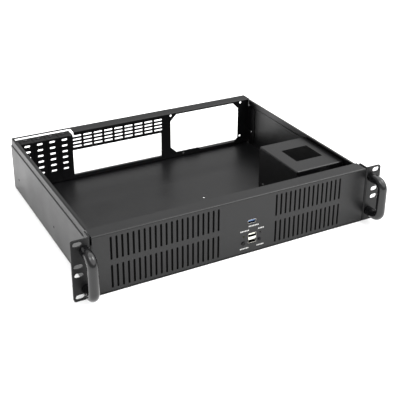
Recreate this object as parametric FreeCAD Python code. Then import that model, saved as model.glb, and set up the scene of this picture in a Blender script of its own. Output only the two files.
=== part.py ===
"""Two-unit rackmount server case, open at the top: folded sheet chassis, panels, ears, handles and controls.

Millimetres, +Z up. Pieces are drawn from the front face (y = 0) to the rear edge, with the case's
underside at z = 0 and its middle at x = 0. On export they move so that the origin is the centre of
the floor's underside.
"""
import FreeCAD, Part
import math
import os

from FreeCAD import Vector

# Rack standard
RACK_WIDTH = 482.6
PANEL_HEIGHT = 88.1
RACK_SLOT_IN = 8.75
RACK_OUTER_PITCH = 76.2
RACK_INNER_PITCH = 12.7
RACK_SLOT_LENGTH = 12.0
RACK_SLOT_WIDTH = 7.0

# Chassis
BODY_DEPTH = 350.0
BODY_HEIGHT = 86.0
SHEET = 1.2
BEND = 0.8
STEP_IN = 1.5
STEP_HEIGHT = 74.0
LIP_WIDTH = 5.0
WALL_SETBACK = 4.0
PANEL_GAP = 0.15
RAIL_HOLE_R = 2.0
RAIL_HOLE_Z = 26.0
RAIL_HOLE_BACK = 30.0
RAIL_HOLE_PITCH = 168.0
RAIL_TAB_ROOM = 0.5
POST_HOLE_X = 38.6
POST_HOLE_Y = 175.0
POST_HOLE_R = 2.0

# Front panel and its vents
FRONT_FLANGE = 22.0
FRONT_FOOT = 14.0
FACE_CORNER = 1.5
VENT_PITCH = 7.75
VENT_WIDTH = 2.9
VENT_UPPER_LOW = 48.2
VENT_UPPER_HIGH = 81.7
VENT_LOWER_LOW = 6.3
VENT_LOWER_HIGH = 40.4
VENT_LEFT_IN = 25.1
VENT_BOARD_GAP = 22.0
VENT_RIGHT_START = 59.0
VENT_RIGHT_COUNT = 15
FILTER_THICKNESS = 2.0
FILTER_MARGIN = 2.5

# Rear panel
REAR_RECESS = 20.0
REAR_FOOT = 15.0
SIDE_TAB = 22.0
SIDE_TAB_LOW = 6.0
IO_FROM_SLOT = 13.5
IO_WIDTH = 158.75
IO_HEIGHT = 44.45
IO_BOTTOM = 8.9
GRILLE_IN = 8.2
GRILLE_COLUMNS = 9
GRILLE_PITCH_X = 18.1
GRILLE_ROWS = 4
GRILLE_PITCH_Z = 6.1
GRILLE_TOP = 77.8
GRILLE_SLOT_LENGTH = 14.5
GRILLE_SLOT_WIDTH = 2.9
PSU_HOLE_IN = 0.5
PSU_HOLE_TOP = 81.5
PSU_HOLE_SPAN = 138.0
PSU_HOLE_DROP = 64.0
PSU_LOW_HOLE_IN = 24.0
PSU_LOW_HOLE_DROP = 74.0
PSU_HOLE_R = 2.0
PSU_SIDE = 24.4
PSU_WIDTH = 134.0
PSU_BOTTOM = 11.5
PSU_TOP = 82.3
PSU_CHAMFER = 11.0
PSU_STEP_IN = 54.0
PSU_STEP_DROP = 4.0
PSU_STEP_CORNER = 7.0

# Expansion slots and their covers
SLOT_COUNT = 4
SLOT_PITCH = 20.32
SLOT_SIDE = 20.29
SLOT_OPENING = 13.0
SLOT_OPENING_LOW = 14.0
LEDGE_TOP = 80.8
LEDGE_SIDE = 5.75
LEDGE_PAST_SLOT = 14.4
ROOF_CUT_SIDE = 4.75
ROOF_CUT_PAST_SLOT = 16.0
ROOF_RIB = 3.5
COVER_SHEET = 1.0
COVER_WIDTH = 18.4
COVER_TONGUE_WIDTH = 10.2
COVER_TONGUE_TOP = 11.0
COVER_LOW = 3.6
COVER_TAB = 15.0
COVER_HOLE_TOP = 75.6
COVER_HOLE_PITCH = 10.1
COVER_HOLE_COUNT = 6
COVER_HOLE_LENGTH = 9.0
COVER_HOLE_WIDTH = 3.3
COVER_SCREW_IN = 9.0

# Rack ears
EAR_OVERHANG = 26.55
EAR_SHEET = 2.5
EAR_BEND = 1.0
EAR_RETURN = 18.0
EAR_CORNER = 4.0
EAR_SCREW_Y = 12.0
EAR_SCREW_LOW = 22.0
EAR_SCREW_PITCH = 40.0

# Handles
HANDLE_OUT = 9.05
HANDLE_R = 7.0
HANDLE_REACH = 28.0
HANDLE_PITCH = 56.0
HANDLE_BEND = 11.0
HANDLE_HOLE_DEPTH = 12.0

# Drive bracket
BRACKET_SIDE_GAP = 2.05
BRACKET_WIDTH = 85.5
BRACKET_FRONT = 50.0
BRACKET_DEPTH = 103.0
BRACKET_TOP = 79.5
BRACKET_LIP = 8.0
BRACKET_FOOT = 14.0
BRACKET_RELIEF = 2.5
BRACKET_CUT_IN = 21.0
BRACKET_CUT_BACK = 31.0
BRACKET_CUT_WIDTH = 47.0
BRACKET_CUT_DEPTH = 43.0
BRACKET_CUT_CORNER = 1.5
BRACKET_SCREW_IN = 12.0
DRIVE_SLOT_Z = 20.0
DRIVE_SLOT_PITCH = 76.6
DRIVE_SLOT_LENGTH = 6.0
DRIVE_SLOT_WIDTH = 3.4

# Screws
SCREW_CLEARANCE = 0.05
SMALL_SHANK_R = 1.75
SMALL_HEAD_R = 3.2
SMALL_HEAD_HEIGHT = 1.6
SMALL_SHANK = 6.0
HANDLE_SHANK_R = 2.0
HANDLE_SHANK = 10.0
HANDLE_HEAD_R = 4.0
BOARD_SHANK_R = 1.4
BOARD_HEAD_R = 2.6
BOARD_SCREW = 6.0
DRIVE_POINT = 1.5

# Control board
BOARD_LEFT = -8.0
BOARD_BOTTOM = 6.0
BOARD_WIDTH = 56.0
BOARD_HEIGHT = 58.0
BOARD_THICKNESS = 1.6
BOARD_CORNER = 2.0
BOARD_POST_INSET = 4.0
POST_LENGTH = 14.0
POST_R = 2.8

# Front ports
PORT_WALL = 0.4
PORT_WIDTH = 13.1
PORT_PROUD = 0.3
PORT_CUT_GAP = 0.25
PORT_TONGUE_SET = 1.0
PORT_BLOCK = 3.0
PORT_INSERT_GAP = 0.05
TONGUE_WIDTH = 10.6
TONGUE_THICKNESS = 2.0
TONGUE_HEADROOM = 0.7
SINGLE_X = 19.5
SINGLE_Z = 50.0
SINGLE_HEIGHT = 5.8
STACK_X = 20.7
STACK_Z = 23.7
STACK_HEIGHT = 15.6
STACK_WEB = 3.0

# Buttons, their switches and the lights
BUTTON_PROUD = 1.2
BUTTON_CLEARANCE = 0.3
BUTTON_FLANGE = 0.9
BUTTON_FLANGE_THICKNESS = 1.0
BUTTON_STEM_R = 1.5
BUTTON_TRAVEL = 0.8
POWER_X = 6.6
POWER_Z = 17.5
POWER_R = 3.0
RESET_X = 32.6
RESET_Z = 18.2
RESET_R = 2.2
SWITCH_SIDE = 6.0
SWITCH_HEIGHT = 3.5
PLUNGER_R = 1.6
PLUNGER_PROUD = 1.0
PLUNGER_LENGTH = 2.4
PLUNGER_FLOOR = 0.3
LED_R = 1.5
LED_PROUD = 0.6
LED_LENGTH = 5.6
LED_FLANGE_R = 1.9
LED_FLANGE = 1.0
LED_GAP = 0.1
SPACER_R = 2.4
SPACER_BORE_R = 1.0
POWER_LED_X = 7.1
POWER_LED_Z = 27.9
DRIVE_LED_X = 34.0
DRIVE_LED_Z = 29.3

# Places that follow from the sizes above
BODY_WIDTH = RACK_WIDTH - 2 * EAR_OVERHANG
HALF_WIDTH = BODY_WIDTH / 2
WALL_INSIDE = HALF_WIDTH - SHEET
BAND_OUTSIDE = HALF_WIDTH - STEP_IN
STEP_TOP = STEP_HEIGHT + STEP_IN
FLOOR_TOP = SHEET
FACE_HALF = WALL_INSIDE - PANEL_GAP
FACE_TOP = BODY_HEIGHT + SHEET
WALL_Y = BODY_DEPTH - REAR_RECESS
WALL_BACK = WALL_Y + SHEET
ROOF_UNDER = BODY_HEIGHT - SHEET
CORNER_ROOM = SHEET + BEND
REAR_HALF = WALL_INSIDE - CORNER_ROOM - PANEL_GAP
PANEL_MIDDLE = PANEL_HEIGHT / 2
HANDLE_X = HALF_WIDTH + HANDLE_OUT
HANDLE_LOW = PANEL_MIDDLE - HANDLE_PITCH / 2
HANDLE_HIGH = PANEL_MIDDLE + HANDLE_PITCH / 2
VENT_LEFT_START = VENT_LEFT_IN - FACE_HALF
VENT_LEFT_COUNT = int((BOARD_LEFT - VENT_BOARD_GAP - VENT_LEFT_START) / VENT_PITCH) + 1
BRACKET_RIGHT = WALL_INSIDE - BRACKET_SIDE_GAP
BRACKET_LEFT = BRACKET_RIGHT - BRACKET_WIDTH
BRACKET_CUT_X = BRACKET_LEFT + BRACKET_CUT_IN
BRACKET_CUT_Y = BRACKET_FRONT + BRACKET_CUT_BACK
BRACKET_BACK = BRACKET_FRONT + BRACKET_DEPTH
BOARD_FRONT = SHEET + POST_LENGTH
BOARD_BACK = BOARD_FRONT + BOARD_THICKNESS
SWITCH_FRONT = BOARD_FRONT - SWITCH_HEIGHT
PLUNGER_FRONT = SWITCH_FRONT - PLUNGER_PROUD
SLOT_FIRST = SLOT_SIDE - HALF_WIDTH + (SLOT_COUNT - 1) * SLOT_PITCH
SLOT_CENTRES = [SLOT_FIRST - i * SLOT_PITCH for i in range(SLOT_COUNT)]
LEDGE_LEFT = LEDGE_SIDE - HALF_WIDTH
LEDGE_RIGHT = SLOT_FIRST + LEDGE_PAST_SLOT
ROOF_CUT_LEFT = ROOF_CUT_SIDE - HALF_WIDTH
ROOF_CUT_RIGHT = SLOT_FIRST + ROOF_CUT_PAST_SLOT
IO_LEFT = SLOT_FIRST + IO_FROM_SLOT
GRILLE_FIRST = IO_LEFT + GRILLE_IN
PSU_LEFT = HALF_WIDTH - PSU_SIDE - PSU_WIDTH
PSU_HOLE_LEFT = PSU_LEFT + PSU_HOLE_IN
THROUGH = 5.0

# Flats that stand for a full round
SCREW_SIDES = 8
VENT_SIDES = 8
HOLE_SIDES = 12
BUTTON_SIDES = 16
POST_SIDES = 6
HANDLE_SIDES = 12
HANDLE_BEND_STEPS = 3

PLANES = {
    "xz": (lambda u, v, w: Vector(u, w, v), Vector(0, 1, 0)),
    "yz": (lambda u, v, w: Vector(w, u, v), Vector(1, 0, 0)),
    "xy": (lambda u, v, w: Vector(u, v, w), Vector(0, 0, 1)),
}


# Drawing helpers

def corner_arc(before, here, after):
    """Start, middle and end of the arc that rounds one corner (u, v, radius)."""
    point = Vector(here[0], here[1], 0)
    radius = here[2]
    if radius == 0:
        return point, None, point
    to_before = (Vector(before[0], before[1], 0) - point).normalize()
    to_after = (Vector(after[0], after[1], 0) - point).normalize()
    half = to_before.getAngle(to_after) / 2
    reach = radius / math.tan(half)
    centre = point + (to_before + to_after).normalize() * (radius / math.sin(half))
    middle = centre + (point - centre).normalize() * radius
    return point + to_before * reach, middle, point + to_after * reach


def prism(corners, plane, start, end):
    """Solid of a closed outline of (u, v, radius) corners, pulled from start to end across its plane."""
    place, direction = PLANES[plane]
    count = len(corners)
    arcs = [corner_arc(corners[i - 1], corners[i], corners[(i + 1) % count]) for i in range(count)]
    edges = []
    for i, (first, middle, last) in enumerate(arcs):
        if middle is not None:
            ends = [place(p.x, p.y, start) for p in (first, middle, last)]
            edges.append(Part.Arc(*ends).toShape())
        following = arcs[(i + 1) % count][0]
        if (following - last).Length > 1e-6:
            ends = [place(p.x, p.y, start) for p in (last, following)]
            edges.append(Part.LineSegment(*ends).toShape())
    return Part.Face(Part.Wire(edges)).extrude(direction * (end - start))


def folded(path, plane, start, end, thickness=SHEET, bend=BEND):
    """Sheet folded along a path of (u, v) points on its outer face, with its thickness to the path's left."""
    points = [Vector(u, v, 0) for u, v in path]
    runs = [(b - a).normalize() for a, b in zip(points, points[1:])]
    normals = [Vector(-run.y, run.x, 0) for run in runs]
    near = [(points[0].x, points[0].y, 0)]
    first = points[0] + normals[0] * thickness
    far = [(first.x, first.y, 0)]
    for i in range(1, len(points) - 1):
        mitre = (normals[i - 1] + normals[i]) * (thickness / (1 + normals[i - 1].dot(normals[i])))
        inner = points[i] + mitre
        turns_left = runs[i - 1].cross(runs[i]).z > 0
        near.append((points[i].x, points[i].y, bend + thickness if turns_left else bend))
        far.append((inner.x, inner.y, bend if turns_left else bend + thickness))
    last = points[-1] + normals[-1] * thickness
    near.append((points[-1].x, points[-1].y, 0))
    far.append((last.x, last.y, 0))
    return prism(near + far[::-1], plane, start, end)


def box(x, y, z):
    """Block between the (low, high) pairs of its three directions."""
    return Part.makeBox(x[1] - x[0], y[1] - y[0], z[1] - z[0], Vector(x[0], y[0], z[0]))


def clipped(u, v, cut):
    """Corners of a rectangle between two (low, high) pairs with each corner cut off at 45 degrees."""
    left, right = u
    low, high = v
    return [
        (left, low + cut, 0),
        (left + cut, low, 0),
        (right - cut, low, 0),
        (right, low + cut, 0),
        (right, high - cut, 0),
        (right - cut, high, 0),
        (left + cut, high, 0),
        (left, high - cut, 0),
    ]


def eased(u, v, radius, sides):
    """Corners of a rectangle between two (low, high) pairs, with flats for the round of each corner."""
    corner = radius / math.cos(math.pi / sides)
    outline = []
    for i in range(sides):
        angle = (i + 0.5) * 2 * math.pi / sides
        across, up = corner * math.cos(angle), corner * math.sin(angle)
        centre_u = u[1] - radius if across > 0 else u[0] + radius
        centre_v = v[1] - radius if up > 0 else v[0] + radius
        outline.append((centre_u + across, centre_v + up, 0))
    return outline


def slot(u, v, plane, start, end):
    """Oblong vent between two (low, high) pairs, with flats for the round of its ends."""
    radius = min(u[1] - u[0], v[1] - v[0]) / 2
    return prism(eased(u, v, radius, VENT_SIDES), plane, start, end)


def around(middle, length):
    """The (low, high) pair of a length about its middle."""
    return middle - length / 2, middle + length / 2


def ring(centre, across, outward, radius, sides):
    """Corners of the flats that stand for a circle, in the plane of two directions."""
    corner = radius / math.cos(math.pi / sides)
    angles = [(i + 0.5) * 2 * math.pi / sides for i in range(sides)]
    return [centre + across * (corner * math.cos(a)) + outward * (corner * math.sin(a)) for a in angles]


def skinned(rings):
    """Solid with flat sides through rings of corners, closed by its first and last ring."""
    faces = [Part.Face(Part.makePolygon(ends + ends[:1])) for ends in (rings[0], rings[-1])]
    for near, far in zip(rings, rings[1:]):
        for i in range(len(near)):
            corners = [near[i - 1], near[i], far[i], far[i - 1]]
            faces.append(Part.Face(Part.makePolygon(corners + corners[:1])))
    return Part.makeSolid(Part.Shell(faces)).removeSplitter()


def turned(profile, base, along, sides=SCREW_SIDES):
    """Turned piece from its (radius, distance) outline along an axis direction from base."""
    across = Vector(along.z, along.x, along.y)
    outward = along.cross(across)
    return skinned([ring(base + along * d, across, outward, r, sides) for r, d in profile])


def rod(radius, x, z, start, end, sides=SCREW_SIDES):
    """Round bar along y."""
    return turned([(radius, 0), (radius, end - start)], Vector(x, start, z), Vector(0, 1, 0), sides)


def round_slot(u, v, plane, start, end):
    """Oblong punch with true round ends, for slots that take a standard screw."""
    radius = min(u[1] - u[0], v[1] - v[0]) / 2
    corners = [(u[0], v[0], radius), (u[1], v[0], radius), (u[1], v[1], radius), (u[0], v[1], radius)]
    return prism(corners, plane, start, end)


def cut_all(shape, tools):
    """Shape without the tools."""
    return shape.cut(Part.makeCompound(tools))


def joined(*shapes):
    """One solid from several that meet."""
    return shapes[0].fuse(list(shapes[1:])).removeSplitter()


def both_sides(shape):
    """The shape and its mirror image across the middle of the case."""
    return [shape, shape.mirror(Vector(0, 0, 0), Vector(1, 0, 0))]


def flat_screw(base, direction, head_r, shank_r, depth, length, grow=0.0):
    """Countersunk screw with its flat face at base, or with grow the hole that it sits in."""
    return turned([(head_r + grow, 0), (shank_r + grow, depth), (shank_r + grow, length)], base, direction)


def pan_screw(base, direction, head_r, shank_r, head_height, length):
    """Pan-headed screw whose head seats at base and whose shank runs on along direction."""
    crown = head_height / 3
    profile = [
        (head_r - crown, -head_height),
        (head_r, crown - head_height),
        (head_r, 0),
        (shank_r, 0),
        (shank_r, length),
    ]
    return turned(profile, base, direction)


def save(name, shape):
    """Write one piece, moved to the part's own origin."""
    moved = shape.copy()
    moved.translate(Vector(0, -BODY_DEPTH / 2, 0))
    moved.exportStep(f"parts/{name}.step")


# Chassis tray

def bracket_screw_places():
    """Centres of the four screws that hold the drive bracket to the floor."""
    side = SHEET + (BRACKET_FOOT - SHEET) / 2
    columns = (BRACKET_LEFT + side, BRACKET_RIGHT - side)
    rows = (BRACKET_FRONT + BRACKET_SCREW_IN, BRACKET_BACK - BRACKET_SCREW_IN)
    return [Vector(x, y, 0) for x in columns for y in rows]


def bracket_screw(place, grow=0.0):
    """One screw of the drive bracket, up through the floor and the bracket's foot."""
    return flat_screw(place, Vector(0, 0, 1), SMALL_HEAD_R, SMALL_SHANK_R, SHEET, SMALL_SHANK, grow)


def ear_screw(z, grow=0.0):
    """One screw of the right ear, in through the ear's return and the side wall."""
    base = Vector(HALF_WIDTH + EAR_SHEET, EAR_SCREW_Y, z)
    return flat_screw(base, Vector(-1, 0, 0), SMALL_HEAD_R, SMALL_SHANK_R, EAR_SHEET / 2, SMALL_SHANK, grow)


def ear_screw_heights():
    """Heights of an ear's two screws."""
    return EAR_SCREW_LOW, EAR_SCREW_LOW + EAR_SCREW_PITCH


def rail_hole_places():
    """Start of each punch for the slide rail holes, which goes through both side walls."""
    rear = BODY_DEPTH - RAIL_HOLE_BACK
    depths = (rear - RAIL_HOLE_PITCH, rear)
    return [Vector(-HALF_WIDTH - THROUGH, y, RAIL_HOLE_Z) for y in depths]


def base_tray():
    """Floor and stepped side walls, folded from one sheet."""
    side = [
        (BAND_OUTSIDE - LIP_WIDTH, BODY_HEIGHT),
        (BAND_OUTSIDE, BODY_HEIGHT),
        (BAND_OUTSIDE, STEP_TOP),
        (HALF_WIDTH, STEP_HEIGHT),
        (HALF_WIDTH, 0),
    ]
    path = [(-x, z) for x, z in side] + side[::-1]
    tray = folded(path, "xz", 0, BODY_DEPTH)
    setback = (-THROUGH, WALL_SETBACK)
    above = BODY_HEIGHT + THROUGH
    front_cut = box((BAND_OUTSIDE - CORNER_ROOM, HALF_WIDTH + THROUGH), setback, (CORNER_ROOM, above))
    lip_cut = box((BAND_OUTSIDE - 2 * LIP_WIDTH, HALF_WIDTH), setback, (ROOF_UNDER - BEND, above))
    roof_run = (WALL_Y - PANEL_GAP, BODY_DEPTH + THROUGH)
    roof_seat = box((-HALF_WIDTH, HALF_WIDTH), roof_run, (ROOF_UNDER, above))
    tools = both_sides(front_cut) + both_sides(lip_cut) + [roof_seat]
    for place in rail_hole_places():
        tools.append(Part.makeCylinder(RAIL_HOLE_R, BODY_WIDTH + 2 * THROUGH, place, Vector(1, 0, 0)))
    post_hole = [(POST_HOLE_R, -THROUGH), (POST_HOLE_R, THROUGH)]
    tools.append(turned(post_hole, Vector(POST_HOLE_X, POST_HOLE_Y, 0), Vector(0, 0, 1), HOLE_SIDES))
    for z in ear_screw_heights():
        tools += both_sides(ear_screw(z, SCREW_CLEARANCE))
    for place in bracket_screw_places():
        tools.append(bracket_screw(place, SCREW_CLEARANCE))
    return cut_all(tray, tools)


# Front panel

def vent_groups():
    """First slot's middle and number of slots of each vent group."""
    return (VENT_LEFT_START, VENT_LEFT_COUNT), (VENT_RIGHT_START, VENT_RIGHT_COUNT)


def vent_punches():
    """Two rows of upright slots in each of the two vent groups."""
    rows = ((VENT_UPPER_LOW, VENT_UPPER_HIGH), (VENT_LOWER_LOW, VENT_LOWER_HIGH))
    punches = []
    for first, count in vent_groups():
        for column in range(count):
            across = around(first + column * VENT_PITCH, VENT_WIDTH)
            for row in rows:
                punches.append(slot(across, row, "xz", -THROUGH, THROUGH))
    return punches


def port_hole(x, z, height):
    """Punch for one port in the face."""
    room = 2 * PORT_CUT_GAP
    return box(around(x, PORT_WIDTH + room), (-THROUGH, THROUGH), around(z, height + room))


def front_panel():
    """Face with its vents and control holes, a flange over the side walls and a foot on the floor."""
    path = [(FRONT_FLANGE, FACE_TOP), (0, FACE_TOP), (0, FLOOR_TOP), (FRONT_FOOT, FLOOR_TOP)]
    panel = folded(path, "yz", -FACE_HALF, FACE_HALF)
    outline = [
        (-FACE_HALF, FLOOR_TOP, FACE_CORNER),
        (FACE_HALF, FLOOR_TOP, FACE_CORNER),
        (FACE_HALF, FACE_TOP, 0),
        (-FACE_HALF, FACE_TOP, 0),
    ]
    panel = panel.common(prism(outline, "xz", -THROUGH, BODY_DEPTH))
    beside_foot = (REAR_HALF, FACE_HALF + THROUGH)
    foot_room = box(beside_foot, (CORNER_ROOM, FRONT_FOOT + THROUGH), (0, FLOOR_TOP + CORNER_ROOM))
    tools = both_sides(foot_room) + vent_punches()
    tools.append(port_hole(SINGLE_X, SINGLE_Z, SINGLE_HEIGHT))
    tools.append(port_hole(STACK_X, STACK_Z, STACK_HEIGHT))
    tools.append(rod(POWER_R + BUTTON_CLEARANCE, POWER_X, POWER_Z, -THROUGH, THROUGH, BUTTON_SIDES))
    tools.append(rod(RESET_R + BUTTON_CLEARANCE, RESET_X, RESET_Z, -THROUGH, THROUGH, BUTTON_SIDES))
    tools.append(rod(LED_R + LED_GAP, POWER_LED_X, POWER_LED_Z, -THROUGH, THROUGH, HOLE_SIDES))
    tools.append(rod(LED_R + LED_GAP, DRIVE_LED_X, DRIVE_LED_Z, -THROUGH, THROUGH, HOLE_SIDES))
    return cut_all(panel, tools)


def vent_filters():
    """Flat dust filter behind each vent group, laid against the face."""
    margin = VENT_WIDTH / 2 + FILTER_MARGIN
    up = (VENT_LOWER_LOW - FILTER_MARGIN, VENT_UPPER_HIGH + FILTER_MARGIN)
    pads = []
    for first, count in vent_groups():
        across = (first - margin, first + (count - 1) * VENT_PITCH + margin)
        pads.append(box(across, (SHEET, SHEET + FILTER_THICKNESS), up))
    return Part.makeCompound(pads)


# Rear panel

def psu_punches():
    """Power supply opening, whose lower edge steps down to the right, and its four screw holes."""
    outline = clipped((PSU_LEFT, PSU_LEFT + PSU_WIDTH), (PSU_BOTTOM, PSU_TOP), PSU_CHAMFER)
    right = PSU_LEFT + PSU_WIDTH
    step = PSU_LEFT + PSU_STEP_IN
    low = PSU_BOTTOM - PSU_STEP_DROP
    lowered = [(step, PSU_BOTTOM, 0), (step + PSU_STEP_DROP, low, 0)]
    outline[2:4] = lowered + [(right - PSU_STEP_CORNER, low, 0), (right, low + PSU_STEP_CORNER, 0)]
    places = [
        (PSU_HOLE_LEFT, PSU_HOLE_TOP),
        (PSU_HOLE_LEFT + PSU_HOLE_SPAN, PSU_HOLE_TOP),
        (PSU_HOLE_LEFT + PSU_HOLE_SPAN, PSU_HOLE_TOP - PSU_HOLE_DROP),
        (PSU_HOLE_LEFT + PSU_LOW_HOLE_IN, PSU_HOLE_TOP - PSU_LOW_HOLE_DROP),
    ]
    before = WALL_Y - THROUGH
    back = Vector(0, 1, 0)
    holes = [Part.makeCylinder(PSU_HOLE_R, 2 * THROUGH, Vector(x, before, z), back) for x, z in places]
    return [prism(outline, "xz", before, WALL_Y + THROUGH)] + holes


def grille_punches():
    """Rows of oblong vents above the port opening."""
    punches = []
    for column in range(GRILLE_COLUMNS):
        across = around(GRILLE_FIRST + column * GRILLE_PITCH_X, GRILLE_SLOT_LENGTH)
        for row in range(GRILLE_ROWS):
            up = around(GRILLE_TOP - row * GRILLE_PITCH_Z, GRILLE_SLOT_WIDTH)
            punches.append(slot(across, up, "xz", WALL_Y - THROUGH, WALL_Y + THROUGH))
    return punches


def slot_openings():
    """Openings in the wall behind the slot covers."""
    top = LEDGE_TOP - SHEET - CORNER_ROOM
    sides = (SLOT_OPENING_LOW, top)
    return [box(around(x, SLOT_OPENING), (WALL_Y - THROUGH, WALL_Y + THROUGH), sides) for x in SLOT_CENTRES]


def cover_screw_hole(x):
    """Punch for the screw of the slot cover at x, through the cover's tab and the ledge."""
    radius = SMALL_SHANK_R + SCREW_CLEARANCE
    place = Vector(x, WALL_Y + COVER_SCREW_IN, LEDGE_TOP - THROUGH)
    return turned([(radius, 0), (radius, 2 * THROUGH)], place, Vector(0, 0, 1))


def rear_panel():
    """Wall set forward of the rear edge, with its roof flange, slot ledge, side tabs and foot."""
    path = [
        (BODY_DEPTH, BODY_HEIGHT),
        (WALL_Y, BODY_HEIGHT),
        (WALL_Y, FLOOR_TOP),
        (WALL_Y + REAR_FOOT, FLOOR_TOP),
    ]
    panel = folded(path, "yz", -BAND_OUTSIDE, BAND_OUTSIDE)
    before = WALL_Y - THROUGH
    beside = box((REAR_HALF, BAND_OUTSIDE + THROUGH), (before, BODY_DEPTH + THROUGH), (0, ROOF_UNDER))
    roof_cut = box(
        (ROOF_CUT_LEFT, ROOF_CUT_RIGHT),
        (before, BODY_DEPTH - ROOF_RIB),
        (LEDGE_TOP - CORNER_ROOM, BODY_HEIGHT + THROUGH),
    )
    panel = cut_all(panel, both_sides(beside) + [roof_cut])
    ledge_path = [(BODY_DEPTH, LEDGE_TOP), (WALL_Y, LEDGE_TOP), (WALL_Y, LEDGE_TOP - 2 * CORNER_ROOM)]
    ledge = folded(ledge_path, "yz", LEDGE_LEFT, LEDGE_RIGHT)
    tab_path = [
        (-REAR_HALF + CORNER_ROOM, WALL_BACK),
        (-WALL_INSIDE, WALL_BACK),
        (-WALL_INSIDE, WALL_BACK - SIDE_TAB),
    ]
    tab = folded(tab_path, "xy", SIDE_TAB_LOW, STEP_HEIGHT - CORNER_ROOM)
    panel = joined(panel, ledge, *both_sides(tab))
    port_opening = box(
        (IO_LEFT, IO_LEFT + IO_WIDTH),
        (WALL_Y - THROUGH, WALL_Y + THROUGH),
        (IO_BOTTOM, IO_BOTTOM + IO_HEIGHT),
    )
    tools = [port_opening] + grille_punches() + psu_punches() + slot_openings()
    tools += [cover_screw_hole(x) for x in SLOT_CENTRES]
    rail_room = [(RAIL_HOLE_R + RAIL_TAB_ROOM, 0), (RAIL_HOLE_R + RAIL_TAB_ROOM, BODY_WIDTH + 2 * THROUGH)]
    for place in rail_hole_places():
        tools.append(turned(rail_room, place, Vector(1, 0, 0)))
    return cut_all(panel, tools)


def slot_cover(x):
    """Vented strip in front of one slot opening, with its tab bent over the ledge."""
    outside = WALL_Y - COVER_SHEET
    top = LEDGE_TOP + COVER_SHEET
    path = [(outside + COVER_TAB, top), (outside, top), (outside, COVER_LOW)]
    strip = folded(path, "yz", x - COVER_WIDTH / 2, x + COVER_WIDTH / 2, COVER_SHEET)
    wide = around(x, COVER_WIDTH)
    thin = around(x, COVER_TONGUE_WIDTH)
    slope = (COVER_WIDTH - COVER_TONGUE_WIDTH) / 2
    outline = [
        (thin[0], COVER_LOW, 0),
        (thin[1], COVER_LOW, 0),
        (thin[1], COVER_TONGUE_TOP, 0),
        (wide[1], COVER_TONGUE_TOP + slope, 0),
        (wide[1], top, 0),
        (wide[0], top, 0),
        (wide[0], COVER_TONGUE_TOP + slope, 0),
        (thin[0], COVER_TONGUE_TOP, 0),
    ]
    strip = strip.common(prism(outline, "xz", WALL_Y - THROUGH, BODY_DEPTH))
    tools = []
    for i in range(COVER_HOLE_COUNT):
        up = around(COVER_HOLE_TOP - i * COVER_HOLE_PITCH, COVER_HOLE_WIDTH)
        tools.append(slot(around(x, COVER_HOLE_LENGTH), up, "xz", WALL_Y - THROUGH, WALL_Y + THROUGH))
    return cut_all(strip, tools + [cover_screw_hole(x)])


def slot_cover_screws():
    """Screws down through the cover tabs into the ledge."""
    seat = LEDGE_TOP + COVER_SHEET
    down = Vector(0, 0, -1)
    screws = []
    for x in SLOT_CENTRES:
        base = Vector(x, WALL_Y + COVER_SCREW_IN, seat)
        screws.append(pan_screw(base, down, SMALL_HEAD_R, SMALL_SHANK_R, SMALL_HEAD_HEIGHT, SMALL_SHANK))
    return Part.makeCompound(screws)


# Rack ears and handles

def handle_screw_places():
    """Centres of the right handle's two screws on the ear."""
    return [(HANDLE_X, HANDLE_LOW), (HANDLE_X, HANDLE_HIGH)]


def handle_screw(x, z, grow=0.0):
    """One handle screw, forward through the ear into the handle."""
    base = Vector(x, EAR_SHEET, z)
    depth = EAR_SHEET * 0.8
    return flat_screw(base, Vector(0, -1, 0), HANDLE_HEAD_R, HANDLE_SHANK_R, depth, HANDLE_SHANK, grow)


def ear_right():
    """Slotted front plate folded back along the side wall."""
    plate_edge = RACK_WIDTH / 2
    path = [(HALF_WIDTH, EAR_RETURN), (HALF_WIDTH, 0), (plate_edge, 0)]
    ear = folded(path, "xy", 0, PANEL_HEIGHT, EAR_SHEET, EAR_BEND)
    outline = [
        (HALF_WIDTH, 0, 0),
        (plate_edge, 0, EAR_CORNER),
        (plate_edge, PANEL_HEIGHT, EAR_CORNER),
        (HALF_WIDTH, PANEL_HEIGHT, 0),
    ]
    ear = ear.common(prism(outline, "xz", -THROUGH, EAR_RETURN + THROUGH))
    tools = []
    for pitch in (RACK_OUTER_PITCH, RACK_INNER_PITCH):
        for z in around(PANEL_MIDDLE, pitch):
            across = around(plate_edge - RACK_SLOT_IN, RACK_SLOT_LENGTH)
            up = around(z, RACK_SLOT_WIDTH)
            tools.append(round_slot(across, up, "xz", -THROUGH, THROUGH))
    for x, z in handle_screw_places():
        tools.append(handle_screw(x, z, SCREW_CLEARANCE))
    for z in ear_screw_heights():
        tools.append(ear_screw(z, SCREW_CLEARANCE))
    return cut_all(ear, tools)


def handle_ring(y, z, slope):
    """Corners of the right handle's section at a place on its line, which slopes from y towards z."""
    outward = Vector(0, -math.sin(slope), -math.cos(slope))
    return ring(Vector(HANDLE_X, y, z), Vector(1, 0, 0), outward, HANDLE_R, HANDLE_SIDES)


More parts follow.
